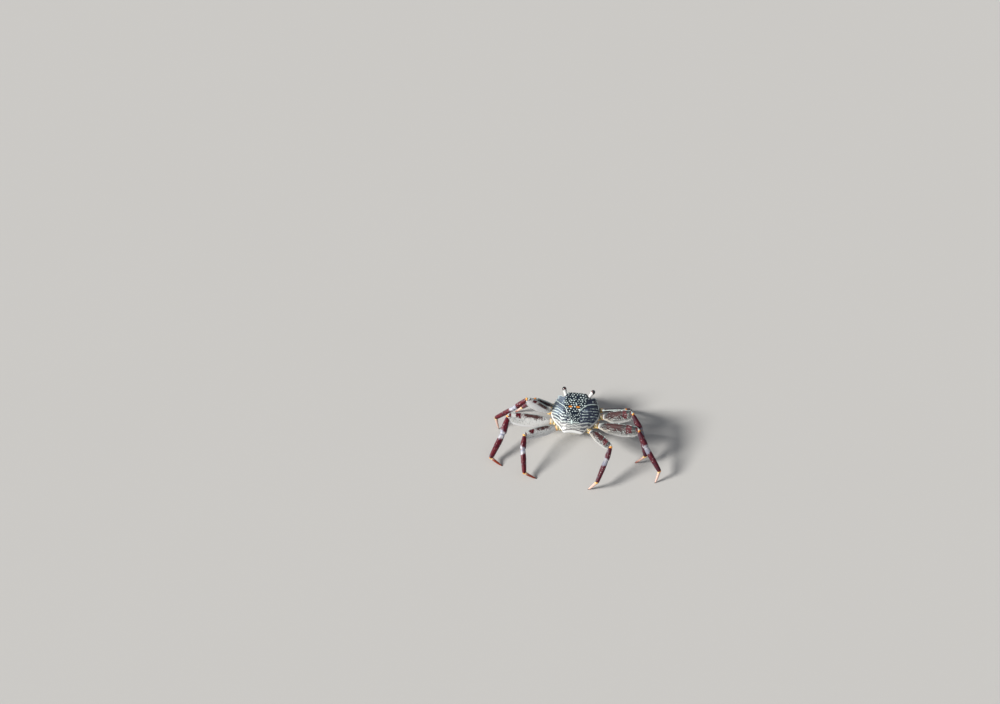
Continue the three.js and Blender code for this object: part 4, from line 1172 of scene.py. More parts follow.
def carapace_fields(x, y, z):
    """The pattern, run on down the front as if the turned-down brow were laid flat."""
    drop = np.clip(MARGIN_Z + RIM + BROW_EDGE - z, 0, 6) * ramp((y - 18.6) / 0.6) * (np.abs(x) < 9)
    return carapace_pattern(x, y + drop)


class MakeCarapace(bpy.types.Operator):
    """Make the carapace, with its lobes, gill ridges, grains and side teeth"""

    bl_idname = "crab.carapace"
    bl_label = "Carapace"

    def execute(self, context):
        bm = plan_sheet(220, 200, carapace_place, CARAPACE_EDGE, MARGIN_Z - RIM)
        finish_piece("carapace_shell", bm, BODY, "carapace_shell", ["carapace"], carapace_fields)
        return {"FINISHED"}


# ---------------------------------------------------------------- thorax and tail flap

THORAX_EDGE = [(0, 0), (0.02, 0.3), (0, 0.7), (-0.15, 0.95), (-0.6, 1), (-1.4, 1)]
SUTURES = (12, 5.1, -2.6, -9.6)  # y of the grooves between the leg bases


def thorax_bottom(x, y, half):
    u = np.minimum(1, np.abs(x) / (half - THORAX_INSET))
    along = np.minimum(1, np.abs(y - THORAX_MIDDLE) / THORAX_HALF_LENGTH)
    return THORAX_ROOF - 0.8 - THORAX_DEPTH * np.sqrt((1 - u ** 2.6) * (1 - along ** 3.4))


def thorax_place(u, v):
    half = half_width(v)
    x = u * (half - THORAX_INSET)
    rear = rear_edge(x) + THORAX_INSET
    front = brow_line(x) - THORAX_INSET
    y = rear + v * (front - rear)
    z = thorax_bottom(x, y, half)
    side = np.abs(x)
    for suture in SUTURES:
        z = z + 0.35 * bump(y - suture + 0.12 * side, 0.5) * ramp((side - 4) / 3)
    z = z + 0.3 * bump(x, 0.5) * ramp((y - 4) / 3)
    mouth = ramp((5.6 - side) / 0.9) * ramp((y - 11.4) / 1.6)
    drawn_in = 1 - 0.02 * bump(z + 8.4 - 0.12 * side, 0.35) - 0.012 * bump(z + 10.6, 0.3)
    return x * drawn_in, y * drawn_in - 1.7 * mouth, z + 0.9 * mouth


def thorax_fields(x, y, z):
    """Where the face is, round the mouth, and the grooves between the leg bases."""
    side = np.abs(x)
    seams = np.max([bump(y - suture + 0.12 * side - 0.75, 0.3) for suture in SUTURES], axis=0)
    mouth = bump(side - 6.1, 0.3) * ramp((y - 11) / 2) * ramp((z + 15.5) / 1.5)
    return {"face": ramp((y - 7 - 0.1 * side) / 5) * ramp((z + 14.5) / 4),
            "seam": np.maximum(seams * ramp((side - 4) / 3) * ramp((-7 - z) / 2), mouth)}


FLAP_PLATES = 7
FLAP_HALF_WIDTH, FLAP_TAPER = 7.4, 5


def flap_line(v):
    """The tail flap's middle line at shares from the rear: y, z and the way out of the body."""
    turn = np.radians(-83 + 95 * v)
    y = THORAX_MIDDLE + THORAX_HALF_LENGTH * np.sin(turn)
    mid = np.zeros(len(y))
    half = half_width(length_share(y))
    z = thorax_bottom(mid, y, half)
    step = 0.02
    slope = (thorax_bottom(mid, y + step, half) - z) / step
    norm = np.hypot(slope, 1)
    return y, z, slope / norm, -1 / norm


def flap_fields(x, y, z):
    """A dark seam where each plate of the tail flap laps the next."""
    seam = np.zeros(len(y))
    for ly, lz, out_y, out_z in zip(*flap_line(np.arange(1, FLAP_PLATES) / FLAP_PLATES)):
        seam = np.maximum(seam, bump((y - ly) * out_z - (z - lz) * out_y, 0.13))
    return {"seam": seam, "face": 0.35 * ramp((np.abs(x) - 2) / 4)}


def tail_flap():
    """Overlapping plates from the rear margin, folded forward under the breastplate."""
    rows, sides = 98, 36

    def shape(u, v):
        y, z, out_y, out_z = flap_line(v)
        plate = (v * FLAP_PLATES) % 1
        lap = 0.10 * plate - 0.22 * bump(plate, 0.07) - 0.22 * bump(plate - 1, 0.07)
        end = np.clip(np.minimum(v, 1 - v) / 0.012, 0, 1) ** 0.5
        wide = (FLAP_HALF_WIDTH - FLAP_TAPER * ramp((v - 0.35) / 0.75)) * (1 + 0.4 * lap) * end
        thick = (0.75 - 0.35 * ramp((v - 0.7) / 0.3) + lap) * end
        a = 2 * np.pi * u
        lift = 1.0 - 0.5 * ramp((v - 0.6) / 0.4) + thick * np.sin(a)
        return np.stack([wide * np.cos(a), y + out_y * lift, z + out_z * lift], axis=-1)

    return shaped_grid(sides, rows, shape)


# ---------------------------------------------------------------- mouth and feelers

MOUTH_ROOT, MOUTH_AIM = (2.7, 12.6, -14), (90, 55)
FEELER_ROOT, FEELER_SPREAD, FEELER_RISE = (8.2, 15.6, -6.6), 22, 12
# Stations of the mouth's and the feelers' parts: y, half width, half thickness, x.
MOUTH_STATIONS = [(0, 1.4, 0.6, 0.2), (1.6, 2.1, 0.85, -0.05), (4.4, 2.25, 0.95, -0.1), (5.3, 1.9, 0.85, 0.2)]
UPPER_STATIONS = [(5.3, 1.5, 0.75, 0.5), (6.4, 1.75, 0.9, 0.4), (8.2, 1.6, 0.8, 0.5), (9.1, 0.9, 0.6, 0.8)]
PALP_STATIONS = [(0, 0.42, 0.42, 0), (1.3, 0.5, 0.5, 0.1), (2.6, 0.4, 0.4, 0.1), (3.9, 0.2, 0.2, 0)]
OUTER_STATIONS = [(0, 0.42, 0.4, 2.35), (5, 0.38, 0.36, 2.5), (8, 0.2, 0.2, 2.1)]
FEELER_BASE = [(0, 0.9, 0.9, 0), (2.6, 1, 1, 0), (3.3, 0.8, 0.8, 0.1)]
FEELER_WHIP = [(3.2, 0.45, 0.45, 0.15), (6.5, 0.28, 0.28, 1), (10, 0.14, 0.14, 2.6)]
WHIP_RING = 0.55
# The small inner feelers under the brow: root, way, stations.
INNER_FEELERS = [
    ((1.7, 17.9, -6.7), (1, -0.05, 0.05), [(0, 0.75, 0.65, 0), (2, 0.85, 0.75, 0), (3.6, 0.5, 0.5, 0)]),
    ((4.9, 17.9, -6.6), (-0.55, 0.3, -0.7),
     [(0, 0.45, 0.45, 0), (1.6, 0.4, 0.4, 0), (2.2, 0.25, 0.25, 0)]),
]
FRINGE_HAIRS, FRINGE_START, FRINGE_LENGTH, FRINGE_RADIUS = 90, 0.3, 8.4, 0.045


def mouth_groove(points, angle):
    """The groove down the outer face of a mouth plate."""
    return -0.22 * bump(points[:, 0] + 0.75 + 0.05 * points[:, 1], 0.22)


def whip_rings(points, angle):
    return 0.05 * np.cos(2 * np.pi * points[:, 1] / WHIP_RING)


class MakeUnderside(bpy.types.Operator):
    """Make the breastplate, the tail flap, the mouth plates and the feelers"""

    bl_idname = "crab.underside"
    bl_label = "Underside and mouth"

    def execute(self, context):
        bm = plan_sheet(110, 120, thorax_place, THORAX_EDGE, THORAX_ROOF)
        finish_piece("thorax_shell", bm, BODY, "underside_shell", ["thorax"], thorax_fields)
        finish_piece("abdomen_flap", tail_flap(), BODY, "underside_shell", ["abdomen"], flap_fields)
        for side, sign in SIDES.items():
            self.make_mouth(side, sign)
            self.make_feeler(side, sign)
        return {"FINISHED"}

    def make_mouth(self, side, sign):
        bm = tube(station_rows(MOUTH_STATIONS, 40, 0.3), 40, 2.3, mouth_groove)
        add_to(bm, tube(station_rows(UPPER_STATIONS, 30, 0.3), 34, 2.3))
        front = -sign  # the side of the plates that faces out
        palp = frame_of(Vector((-0.5, 8.7, 0.45 * front)), Vector((-0.42, -1, 0.1 * front)), -ACROSS)
        bends = hoops((1.4, -0.12, 0.15), (2.7, -0.12, 0.15))
        add_to(bm, tube(station_rows(PALP_STATIONS, 40, 0.3), 20, 2, bends), palp)
        add_to(bm, tube(station_rows(OUTER_STATIONS, 30, 0.3), 16))
        pick = random.Random(30 + sign)
        for k in range(FRINGE_HAIRS):
            y = FRINGE_START + FRINGE_LENGTH * k / (FRINGE_HAIRS - 1)
            edge = -1.85 if y < MOUTH_STATIONS[-1][0] else -0.8
            root = Vector((edge + pick.uniform(0, 0.5), y, front * pick.uniform(0.2, 0.6)))
            lean = Vector((-0.8, pick.uniform(-0.2, 0.7), front * pick.uniform(0.1, 0.6)))
            add_spike(bm, root, root + lean * pick.uniform(0.5, 0.9), FRINGE_RADIUS, 4)
        x, y, z = MOUTH_ROOT
        place = BODY @ frame_of(Vector((sign * x, y, z)), aim(*MOUTH_AIM), sign * ACROSS)
        finish_piece("maxilliped_plates_" + side, bm, place, "underside_shell", ["maxilliped_" + side])

    def make_feeler(self, side, sign):
        x, y, z = FEELER_ROOT
        way = aim(90 - sign * FEELER_SPREAD, FEELER_RISE)
        place = BODY @ frame_of(Vector((sign * x, y, z)), way, UP)
        bm = tube(station_rows(FEELER_BASE, 16, 0.4), 18)
        add_to(bm, tube(station_rows(FEELER_WHIP, 60, 0.2), 14, 2, whip_rings))
        under_brow = place.inverted() @ BODY
        for (x, y, z), (across, ahead, rise), stations in INNER_FEELERS:
            bend = frame_of(Vector((sign * x, y, z)), Vector((sign * across, ahead, rise)), UP)
            add_to(bm, tube(station_rows(stations, 16, 0.3), 16), under_brow @ bend)
        finish_piece("antenna_feeler_" + side, bm, place, "eyestalk_shell", ["antenna_" + side],
                     lambda x, y, z: {"along": 0.42 + 0.5 * np.clip(y / 6, 0, 1), "streak": 1.0})


# ---------------------------------------------------------------- eyes

STALK_STATIONS = [(-1.2, 1, 1.1, 0), (0, 1.25, 1.35, 0), (1.1, 1.65, 1.7, 0), (3.4, 1.45, 1.5, 0),
                  (5.1, 1.65, 1.7, 0), (6.1, 1.45, 1.5, 0)]
STALK_SOCKET = (1.9, 0.9, 1.8)  # radii of the round root in the orbit
HOOD_SWELL, HOOD_WALL = (1.09, 1.05, 1.09), 0.16
# The hood is what these planes, each a point and a way out, leave of the swollen eye.
HOOD_CUTS = [((-0.1, 6, 0), (1, 0.12, 0)), ((0, 7.5, 0), (0.15, 1, 0)), ((0, 5.4, 1.5), (0, 0.6, 1)),
             ((0, 5.4, -1.5), (0, 0.6, -1))]


def eye_ball():
    """The cornea: an ellipsoid that laps down over the outer side of the stalk."""
    bm = ellipsoid(CORNEA_RADII, 36, 40)
    bmesh.ops.translate(bm, vec=CORNEA_CENTRE, verts=bm.verts[:])
    return bm


def eye_hood():
    """The stalk's shell where it laps up over the back of the eye, ending in a blunt tongue."""
    bm = eye_ball()
    bmesh.ops.scale(bm, vec=HOOD_SWELL, space=Matrix.Translation(-CORNEA_CENTRE), verts=bm.verts[:])
    for point, out in HOOD_CUTS:
        cut_off(bm, point, out)
    bmesh.ops.solidify(bm, geom=bm.faces[:], thickness=HOOD_WALL)
    bmesh.ops.recalc_face_normals(bm, faces=bm.faces[:])
    return bm


class MakeEyes(bpy.types.Operator):
    """Make the two raised eyestalks and the eyes on them"""

    bl_idname = "crab.eyes"
    bl_label = "Eyes"

    def execute(self, context):
        collar = hoops((4.8, 0.12, 0.25), (1.9, -0.1, 0.3))
        for side in SIDES:
            place = eye_frame(side)
            bm = tube(station_rows(STALK_STATIONS, 54, 0.5), 36, 2, collar)
            add_to(bm, eye_hood())
            add_to(bm, ellipsoid(STALK_SOCKET), Matrix.Translation((0, 0.1, 0)))
            finish_piece("eyestalk_shell_" + side, bm, place, "eyestalk_shell", ["eyestalk_" + side],
                         lambda x, y, z: {"along": y / EYESTALK_LENGTH, "streak": -x / 1.4})
            finish_piece("eye_cornea_" + side, eye_ball(), place, "cornea", ["eye_" + side])
        return {"FINISHED"}


# ---------------------------------------------------------------- legs

# Each segment after the hip: its slot, the faces round it and the roundness of its section.
SEGMENTS = {
    "merus": ("thigh_shell", 56, 1.75),
    "carpus": ("shin_shell", 40, 2.1),
    "propodus": ("shin_shell", 40, 2.1),
    "dactyl": ("toe_shell", 24, 2.1),
}
MERUS_SPINE_RADIUS = 0.36
# Rows of bristles: segment, span and angles in degrees, how many, and shares of length and radius.
BRISTLE_ROWS = [
    ("carpus", (0.15, 0.95), (0, 180), 8, 0.7, 1),
    ("propodus", (0.12, 0.97), (0, 62, 180, 298), 16, 1, 1),
    ("dactyl", (0.12, 0.86), (60, 120, 240, 300), 9, 0.6, 1),
    ("dactyl", (0.2, 0.84), (0, 180), 6, 0.6, 2.2),
    ("merus", (0.3, 0.97), (180,), 20, 0.45, 1),
]
BRISTLE_CLEARANCE = 0.1  # over the floor


def segment_frames(leg, side):
    """The frame of each segment of a leg after the hip."""
    j = leg_joints(leg, side)
    back = -j["thigh"]
    return {
        "merus": frame_of(j["start"], j["thigh"], j["wrist"]),
        "carpus": frame_of(j["knee"], j["wrist"], back),
        "propodus": frame_of(j["middle"], j["shin"], back),
        "dactyl": frame_of(j["ankle"], j["toe"], -j["shin"]),
    }


def segment_rows(part, sizes):
    """The oval rows of a segment, with a cup for the next joint at its far end."""
    length = sizes[part]
    if part == "merus":
        wide = sizes["blade"] / 2
        return outline_rows(MERUS_OUTLINE, length, wide, wide * MERUS_THICKNESS, 112, sizes["belly"],
                            head=1.0, cup=1.3)
    if part == "dactyl":
        wide = DACTYL_WIDTH / 2
        return outline_rows(DACTYL_OUTLINE, length, wide, wide, 64, head=0.5)
    wide = sizes["slim"] / 2
    outline, count = (CARPUS_OUTLINE, 52) if part == "carpus" else (PROPODUS_OUTLINE, 84)
    return outline_rows(outline, length, wide, wide * SHAFT_THICKNESS, count, head=0.7, cup=1.0)


def merus_relief(sizes, seed):
    """Scale-like ridges over the upper half, a groove inside each edge and a beaded crest."""
    length, half = sizes["merus"], sizes["blade"] / 2
    ridge_spacing, bead_spacing = 1.15, 0.9

    def relief(points, angle):
        across = points[:, 0] / half
        waver = roughly(points, 0.45, seed)
        scales = np.sin(2 * np.pi * (points[:, 1] / ridge_spacing + 0.9 * waver + 0.5 * across))
        broken = np.clip(roughly(points * np.array([1.0, 0.35, 1.0]), 1.2, seed + 9) + 0.35, 0, 1)
        upper = ramp((0.55 - across) / 0.7)
        lift = 0.13 * np.clip(scales, 0, 1) * broken * upper
        lift -= 0.16 * bump(across + 0.70, 0.08) + 0.14 * bump(across - 0.68, 0.08)
        beads = np.clip(np.cos(2 * np.pi * points[:, 1] / bead_spacing), 0, 1)
        lift += 0.10 * beads * bump(np.cos(angle) + 1, 0.25)
        lift += 0.18 * bump(points[:, 1] / length - LIP_AT, 0.012)
        return lift

    return relief


def shaft_relief(length, seed):
    """Low keels along a shin, with rows of grains on them and a lip at its far end."""
    grain_spacing = 0.85

    def relief(points, angle):
        keel = np.cos(6 * angle + 0.4)
        grains = np.clip(np.cos(2 * np.pi * (points[:, 1] / grain_spacing) + 2 * np.rint(angle)), 0, 1)
        lift = 0.07 * keel + 0.07 * grains * np.clip(keel, 0, 1)
        lift += 0.05 * roughly(points, 0.9, seed)
        lift += 0.14 * bump(points[:, 1] / length - LIP_AT, 0.02)
        return lift

    return relief


def toe_relief(seed):
    def relief(points, angle):
        return 0.06 * np.cos(6 * angle) + 0.03 * roughly(points, 1.3, seed)

    return relief


def edge_spines(bm, rows, length, pick):
    """Spines along the two edges of a thigh, leaning towards its far end."""
    for along, reach, side in MERUS_TEETH:
        root, out = spot_on(rows, along * length, 0 if side > 0 else math.pi)
        size = reach * pick.uniform(0.85, 1.15)
        tip = root + out * size * 0.75 + Vector((0, size * 0.7, 0))
        add_spike(bm, root - out * 0.5 - Vector((0, 0.35, 0)), tip, MERUS_SPINE_RADIUS, 8, 0.12)


def flat_foot(bm, matrix):
    """Cuts a toe off level with the floor."""
    into = matrix.inverted()
    cut_off(bm, into.translation, into.to_3x3() @ -UP)
    bmesh.ops.holes_fill(bm, edges=[e for e in bm.edges if e.is_boundary], sides=0)


def segment_fields(rows, length, matrix, marks):
    """Shares along and across a segment, how far each point faces the lit side for painted highlight and
    shade, and its marks.

    A mark is a number, or a function of the share along the segment.
    """
    # The lit side, towards the key light, in the segment's own frame.
    pale = (matrix.to_3x3().inverted() @ LIT_SIDE).normalized()

    def fields(x, y, z):
        wide, thick, middle = (np.interp(y, rows["y"][1:-1], rows[key][1:-1])
                               for key in ("wide", "thick", "x"))
        across = (x - middle) / np.maximum(wide, 0.2)
        deep = z / np.maximum(thick, 0.2)
        norm = np.maximum(np.hypot(across, deep), 0.2)
        t = y / length
        found = {"along": t, "across": across, "streak": (across * pale.x + deep * pale.z) / norm}
        for key, mark in marks.items():
            found[key] = mark(t) if callable(mark) else mark
        return found

    return fields


def wrist_cuff(t):
    """The pale cuff at the far end of a carpus."""
    return bump(t - 1.0, 0.19)


def shin_cuff(t):
    """The pale cuff over the first third of a propodus."""
    return ramp((0.34 - t) / 0.2)


class MakeLegs(bpy.types.Operator):
    """Make the hip, thigh, wrist, shin and toe plates of the eight walking legs"""

    bl_idname = "crab.legs"
    bl_label = "Walking legs"

    def execute(self, context):
        for number, (leg, side) in enumerate(LEG_POSES, 1):
            self.make_hip(leg, side)
            self.make_segments(leg, side, 11 * number)
        return {"FINISHED"}

    def make_hip(self, leg, side):
        j, sizes = leg_joints(leg, side), LEG_SIZES[leg]
        along = j["base"] - j["root"]
        length, reach = along.length, sizes["ischium"]
        place = frame_of(j["root"], along, UP)
        wide = 0.24 * sizes["blade"]
        # Stations of the hip's two plates: y, half width, half thickness, x.
        coxa = [(0, 2.4, 2.2, 0), (2, 3.1, 2.8, 0), (length - 0.8, 3, 2.7, 0), (length + 1, 2.2, 2, 0)]
        ischium = [(-1.2, wide * 0.6, 1.4, 0), (0.3, wide, 2.1, 0), (reach - 0.4, wide * 1.12, 2.1, 0),
                   (reach + 0.7, wide * 0.95, 1.8, 0)]
        lip = hoops((length - 0.2, 0.22, 0.5), (length - 1.5, -0.2, 0.4))
        fold = hoops((0.38 * reach, -0.22, 0.3))
        bm = tube(station_rows(coxa, 44, 0.6, 0.8), 40, 2.2, lip)
        turn = place.inverted() @ frame_of(j["base"], j["thigh"], -UP)
        add_to(bm, tube(station_rows(ischium, 40, 0.5, 0.9), 36, 2.2,
                        lambda p, a: fold(p, a) + 0.06 * roughly(p, 0.8, reach)), turn)
        hinge = place.inverted() @ j["base"]
        near_thigh = place.inverted() @ j["start"]

        def fields(x, y, z):
            points = np.stack([x, y, z], axis=-1)
            close = [bump(np.linalg.norm(points - np.array(p), axis=-1), 2.9) for p in (hinge, near_thigh)]
            return {"joint": np.maximum(close[0], 0.8 * close[1]), "tone": LEG_MARKS[leg, side]["tone"]}

        finish_piece(f"{leg}_{side}_hip_shell", bm, place, "hip_shell", [f"{leg}_{side}_hip"], fields)

    def make_segments(self, leg, side, seed):
        sizes, frames, marks = LEG_SIZES[leg], segment_frames(leg, side), LEG_MARKS[leg, side]
        pick = random.Random(seed)
        reliefs = {
            "merus": merus_relief(sizes, seed),
            "carpus": shaft_relief(sizes["carpus"], seed + 1),
            "propodus": shaft_relief(sizes["propodus"], seed + 2),
            "dactyl": toe_relief(seed + 3),
        }
        part_marks = {
            "merus": {"fair": marks["white"], "slate": marks["slate"], "tone": marks["tone"]},
            "carpus": {"ring": wrist_cuff, "tone": marks["tone"]},
            "propodus": {"ring": shin_cuff, "tone": marks["tone"]},
            "dactyl": {"fair": marks["rosy"]},
        }
        for part, (slot, faces_round, roundness) in SEGMENTS.items():
            rows = segment_rows(part, sizes)
            bm = tube(rows, faces_round, roundness, reliefs[part])
            if part == "merus":
                edge_spines(bm, rows, sizes[part], pick)
            if part == "dactyl":
                flat_foot(bm, frames[part])
            fields = segment_fields(rows, sizes[part], frames[part], part_marks[part])
            name = f"{leg}_{side}_{part}"
            finish_piece(name + "_plate", bm, frames[part], slot, [name], fields)


class MakeJointSkins(bpy.types.Operator):
    """Make the soft orange skin that shows in the joints of each leg"""

    bl_idname = "crab.joint_skins"
    bl_label = "Joint skins"

    def execute(self, context):
        for leg, side in LEG_POSES:
            j, sizes = leg_joints(leg, side), LEG_SIZES[leg]
            slim, blade = sizes["slim"] / 2, sizes["blade"] / 2
            # Each joint's point, the way it runs, its folding side, radii and shift away from the fold.
            joints = [
                (j["base"], j["thigh"], -UP, (2.1, 1.5, 2.0), 0.3),
                (j["start"] + j["thigh"] * 0.2, j["thigh"], j["wrist"], (0.46 * blade, 1.3, 1.75), 0.1),
                (j["knee"], j["thigh"] + j["wrist"], -j["thigh"], (slim * 0.74, 1.2, slim * 0.64), 0.3),
                (j["middle"], j["wrist"] + j["shin"], -j["thigh"], (slim * 0.74, 1.0, slim * 0.62), 0.1),
                (j["ankle"], j["shin"] + j["toe"], -j["shin"], (1.25, 1.2, 1.15), 0.25),
            ]
            bm = bmesh.new()
            for point, along, fold, radii, outward in joints:
                place = frame_of(point, along, fold) @ Matrix.Translation((-outward, 0, 0))
                add_to(bm, ellipsoid(radii), place)
            finish_piece(f"{leg}_{side}_joint_skins", bm, Matrix.Identity(4), "joint_skin")
        return {"FINISHED"}


class MakeBristles(bpy.types.Operator):
    """Make the bristles of the legs and the hard spines under the toes"""

    bl_idname = "crab.bristles"
    bl_label = "Bristles and spines"

    def execute(self, context):
        for number, (leg, side) in enumerate(LEG_POSES):
            pick = random.Random(100 + number)
            frames = segment_frames(leg, side)
            bm = bmesh.new()
            for part, span, angles, count, long, thick in BRISTLE_ROWS:
                rows = segment_rows(part, LEG_SIZES[leg])
                for angle in angles:
                    self.make_row(bm, frames[part], rows, span, angle, count, long, thick, pick)
            finish_piece(f"{leg}_{side}_bristles", bm, Matrix.Identity(4), "bristle")
        return {"FINISHED"}

    def make_row(self, bm, matrix, rows, span, angle, count, long, thick, pick):
        """A row of bristles, each rooted in the segment and leaning to its far end."""
        sizes = bpy.context.scene.crab_sizes
        length, radius = sizes.bristle_length / MM * long, sizes.bristle_radius / MM * thick
        low, high = span
        for k in range(count):
            share = low + (high - low) * (k + pick.uniform(-0.3, 0.3)) / (count - 1)
            turn = math.radians(angle + pick.uniform(-9, 9))
            spot, out = spot_on(rows, share * rows["y"][-1], turn)
            reach = length * pick.uniform(0.7, 1.3)
            lean = (out * pick.uniform(0.5, 0.8) + Vector((0, 0.8, 0))).normalized()
            root = matrix @ (spot - lean * 0.2)
            tip = root + matrix.to_3x3() @ lean * reach
            if min(tip.z, root.z) > BRISTLE_CLEARANCE:
                add_spike(bm, root, tip, radius, 4, 0.2)


# ---------------------------------------------------------------- claws

# y of the spines and teeth, all on the edge towards the folding side, and the radii of their roots.
ARM_SPINES, ARM_SPINE_RADIUS = (6.6, 8, 9.4), 0.42
WRIST_SPINE, WRIST_SPINE_RADIUS = 4.6, 0.5
BITING_TEETH, TOOTH_RADIUS = (10.6, 11.5, 12.3, 13.0, 13.7), 0.34


def claw_places(sign):
    """The frames of a claw's arm, wrist and hand."""
    ways = {}
    for part, (azimuth, elevation) in CLAW_AIMS.items():
        ways[part] = aim(azimuth if sign > 0 else 180 - azimuth, elevation)
    root = Vector((sign * CLAW_ROOT[0], CLAW_ROOT[1], CLAW_ROOT[2]))
    elbow = root + ways["arm"] * CLAW_ARM
    cuff = elbow + ways["wrist"] * CLAW_WRIST
    inward, down = Vector((-sign, 0, 0)), Vector((0, -0.4, -1))
    return {
        "arm": BODY @ frame_of(root, ways["arm"], inward),
        "wrist": BODY @ frame_of(elbow, ways["wrist"], inward),
        "palm": BODY @ frame_of(cuff, ways["palm"], down),
        "finger": BODY @ frame_of(cuff, ways["palm"], down),
    }


def tip_fields(x, y, z):
    return {"tip": y / FINGER_STATIONS[-1][0]}


class MakeClaws(bpy.types.Operator):
    """Make the two small claws, folded in front of the mouth"""

    bl_idname = "crab.claws"
    bl_label = "Claws"

    def execute(self, context):
        for side, sign in SIDES.items():
            self.make_claw(side, sign)
        return {"FINISHED"}

    def make_claw(self, side, sign):
        def grains(points, angle):
            return 0.10 * np.clip(roughly(points, 1.3, sign) * 2, 0, 1) + 0.05 * roughly(points, 0.6, 4)

        arm = tube(station_rows(ARM_STATIONS, 50, 0.6, 0.8), 40, 2.2, grains)
        for k, y in enumerate(ARM_SPINES):
            edge, out = spot_on(station_rows(ARM_STATIONS, 50), y, 0)
            tip = edge + out * (0.9 + 0.15 * k) + Vector((0, 0.5, 0))
            add_spike(arm, edge - out * 0.4, tip, ARM_SPINE_RADIUS, 8)
        wrist = tube(station_rows(WRIST_STATIONS, 42, 0.5, 0.7), 40, 2.1, grains)
        edge, out = spot_on(station_rows(WRIST_STATIONS, 42), WRIST_SPINE, 0)
        tip = edge + out * 1.2 + Vector((0, 0.4, 0))
        add_spike(wrist, edge - out * 0.5, tip, WRIST_SPINE_RADIUS, 8)
        palm = tube(station_rows(PALM_STATIONS, 56, 0.5, 0.5), 48, 2.1, grains)
        add_to(palm, tube(station_rows(THUMB_STATIONS, 44, 0.35), 28, 2.2))
        self.add_teeth(palm, THUMB_STATIONS, math.pi)
        finger = tube(station_rows(FINGER_STATIONS, 44, 0.35), 28, 2.2)
        self.add_teeth(finger, FINGER_STATIONS, 0)
        places = claw_places(sign)
        for part, bm, fields in (("arm", arm, None), ("wrist", wrist, None), ("palm", palm, tip_fields),
                                 ("finger", finger, tip_fields)):
            name = f"claw_{side}_{part}"
            finish_piece(name + "_shell", bm, places[part], "claw_shell", [name], fields)

    def add_teeth(self, bm, stations, angle):
        """Blunt biting teeth along the facing edge of a finger."""
        rows = station_rows(stations, 44)
        for y in BITING_TEETH:
            edge, out = spot_on(rows, y, angle)
            add_spike(bm, edge - out * 0.35, edge + out * 0.32, TOOTH_RADIUS, 8, 0.35)


# ---------------------------------------------------------------- the stage

KEY_WAY, KEY_SPREAD, KEY_TINT = (197, 32), 18, (1, 0.97, 0.93)
FILL_WAY, FILL_SPREAD, FILL_TINT = (330, 62), 60, (0.94, 0.97, 1)
ROOM_TINT = (0.88, 0.92, 1.0, 1)
FLOOR_RADIUS = 4  # metres
FILM_WIDTH = 36  # millimetres


def soft_light(name, way, spread, strength, tint):
    """A wide, even light from an azimuth, measured as for the legs, and an elevation in degrees."""
    light = bpy.data.lights.new(name, "SUN")
    light.angle, light.energy, light.color = math.radians(spread), strength, tint
    lamp = bpy.data.objects.new(name, light)
    lamp.location = aim(*way)
    lamp.rotation_euler = aim(*way).to_track_quat("Z", "Y").to_euler()
    bpy.context.scene.collection.objects.link(lamp)


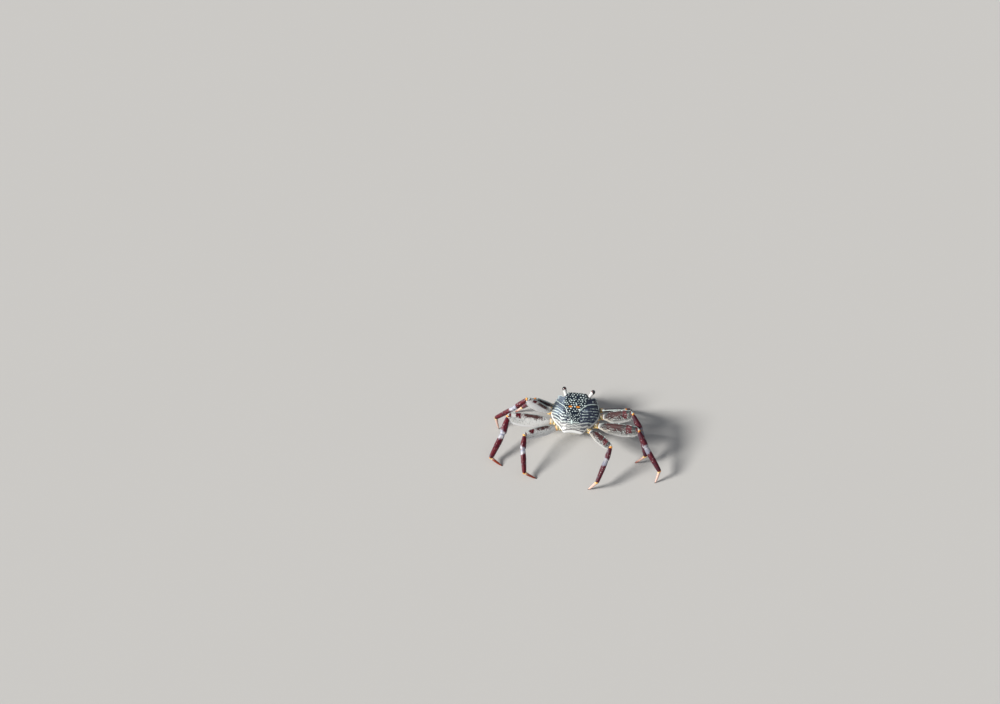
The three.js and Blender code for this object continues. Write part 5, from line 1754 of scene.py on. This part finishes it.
class MakeStage(bpy.types.Operator):
    """Make the floor, the soft lights and the camera"""

    bl_idname = "crab.stage"
    bl_label = "Stage"

    def execute(self, context):
        scene, stage = context.scene, context.scene.crab_stage
        bm = bmesh.new()
        bmesh.ops.create_circle(bm, cap_ends=True, segments=96, radius=FLOOR_RADIUS)
        mesh = bpy.data.meshes.new("floor")
        bm.to_mesh(mesh)
        bm.free()
        mesh.materials.append(material("floor"))
        floor = bpy.data.objects.new("floor", mesh)
        scene.collection.objects.link(floor)

        soft_light("key_light", KEY_WAY, KEY_SPREAD, stage.key_light, KEY_TINT)
        soft_light("fill_light", FILL_WAY, FILL_SPREAD, stage.fill_light, FILL_TINT)
        scene.world = bpy.data.worlds.new("room")
        scene.world.use_nodes = True
        background = scene.world.node_tree.nodes["Background"]
        background.inputs["Color"].default_value = ROOM_TINT
        background.inputs["Strength"].default_value = stage.room_light
        scene.view_settings.view_transform = "Standard"

        camera = bpy.data.cameras.new("camera")
        camera.lens, camera.sensor_width = stage.lens, FILM_WIDTH
        holder = bpy.data.objects.new("camera", camera)
        offset = Vector((stage.camera_across, -stage.camera_back, stage.camera_height))
        holder.location = CRAB.translation * MM + offset
        holder.rotation_euler = (math.radians(90) - stage.look_down, 0, 0)
        scene.collection.objects.link(holder)
        scene.camera = holder
        return {"FINISHED"}


# ---------------------------------------------------------------- panel and registration

MAKERS = (MakeStage, MakeCarapace, MakeUnderside, MakeEyes, MakeLegs, MakeJointSkins, MakeBristles,
          MakeClaws)


class CrabPanel(bpy.types.Panel):
    """Lists the crab's makers"""

    bl_idname = "VIEW3D_PT_crab"
    bl_label = "Shore crab"
    bl_space_type = "VIEW_3D"
    bl_region_type = "UI"
    bl_category = "Crab"

    def draw(self, context):
        for maker in MAKERS:
            self.layout.operator(maker.bl_idname)
        for group in ("crab_sizes", "crab_colours", "crab_stage"):
            box = self.layout.box()
            settings = getattr(context.scene, group)
            for key in settings.__annotations__:
                box.prop(settings, key)


CLASSES = (CrabSizes, CrabColours, CrabStage, *MAKERS, CrabPanel)


def register():
    for item in CLASSES:
        bpy.utils.register_class(item)
    bpy.types.Scene.crab_sizes = PointerProperty(type=CrabSizes)
    bpy.types.Scene.crab_colours = PointerProperty(type=CrabColours)
    bpy.types.Scene.crab_stage = PointerProperty(type=CrabStage)


def unregister():
    del bpy.types.Scene.crab_stage
    del bpy.types.Scene.crab_colours
    del bpy.types.Scene.crab_sizes
    for item in reversed(CLASSES):
        bpy.utils.unregister_class(item)


def main():
    register()
    for maker in MAKERS:
        group, name = maker.bl_idname.split(".")
        getattr(getattr(bpy.ops, group), name)()


if __name__ == "__main__":
    main()
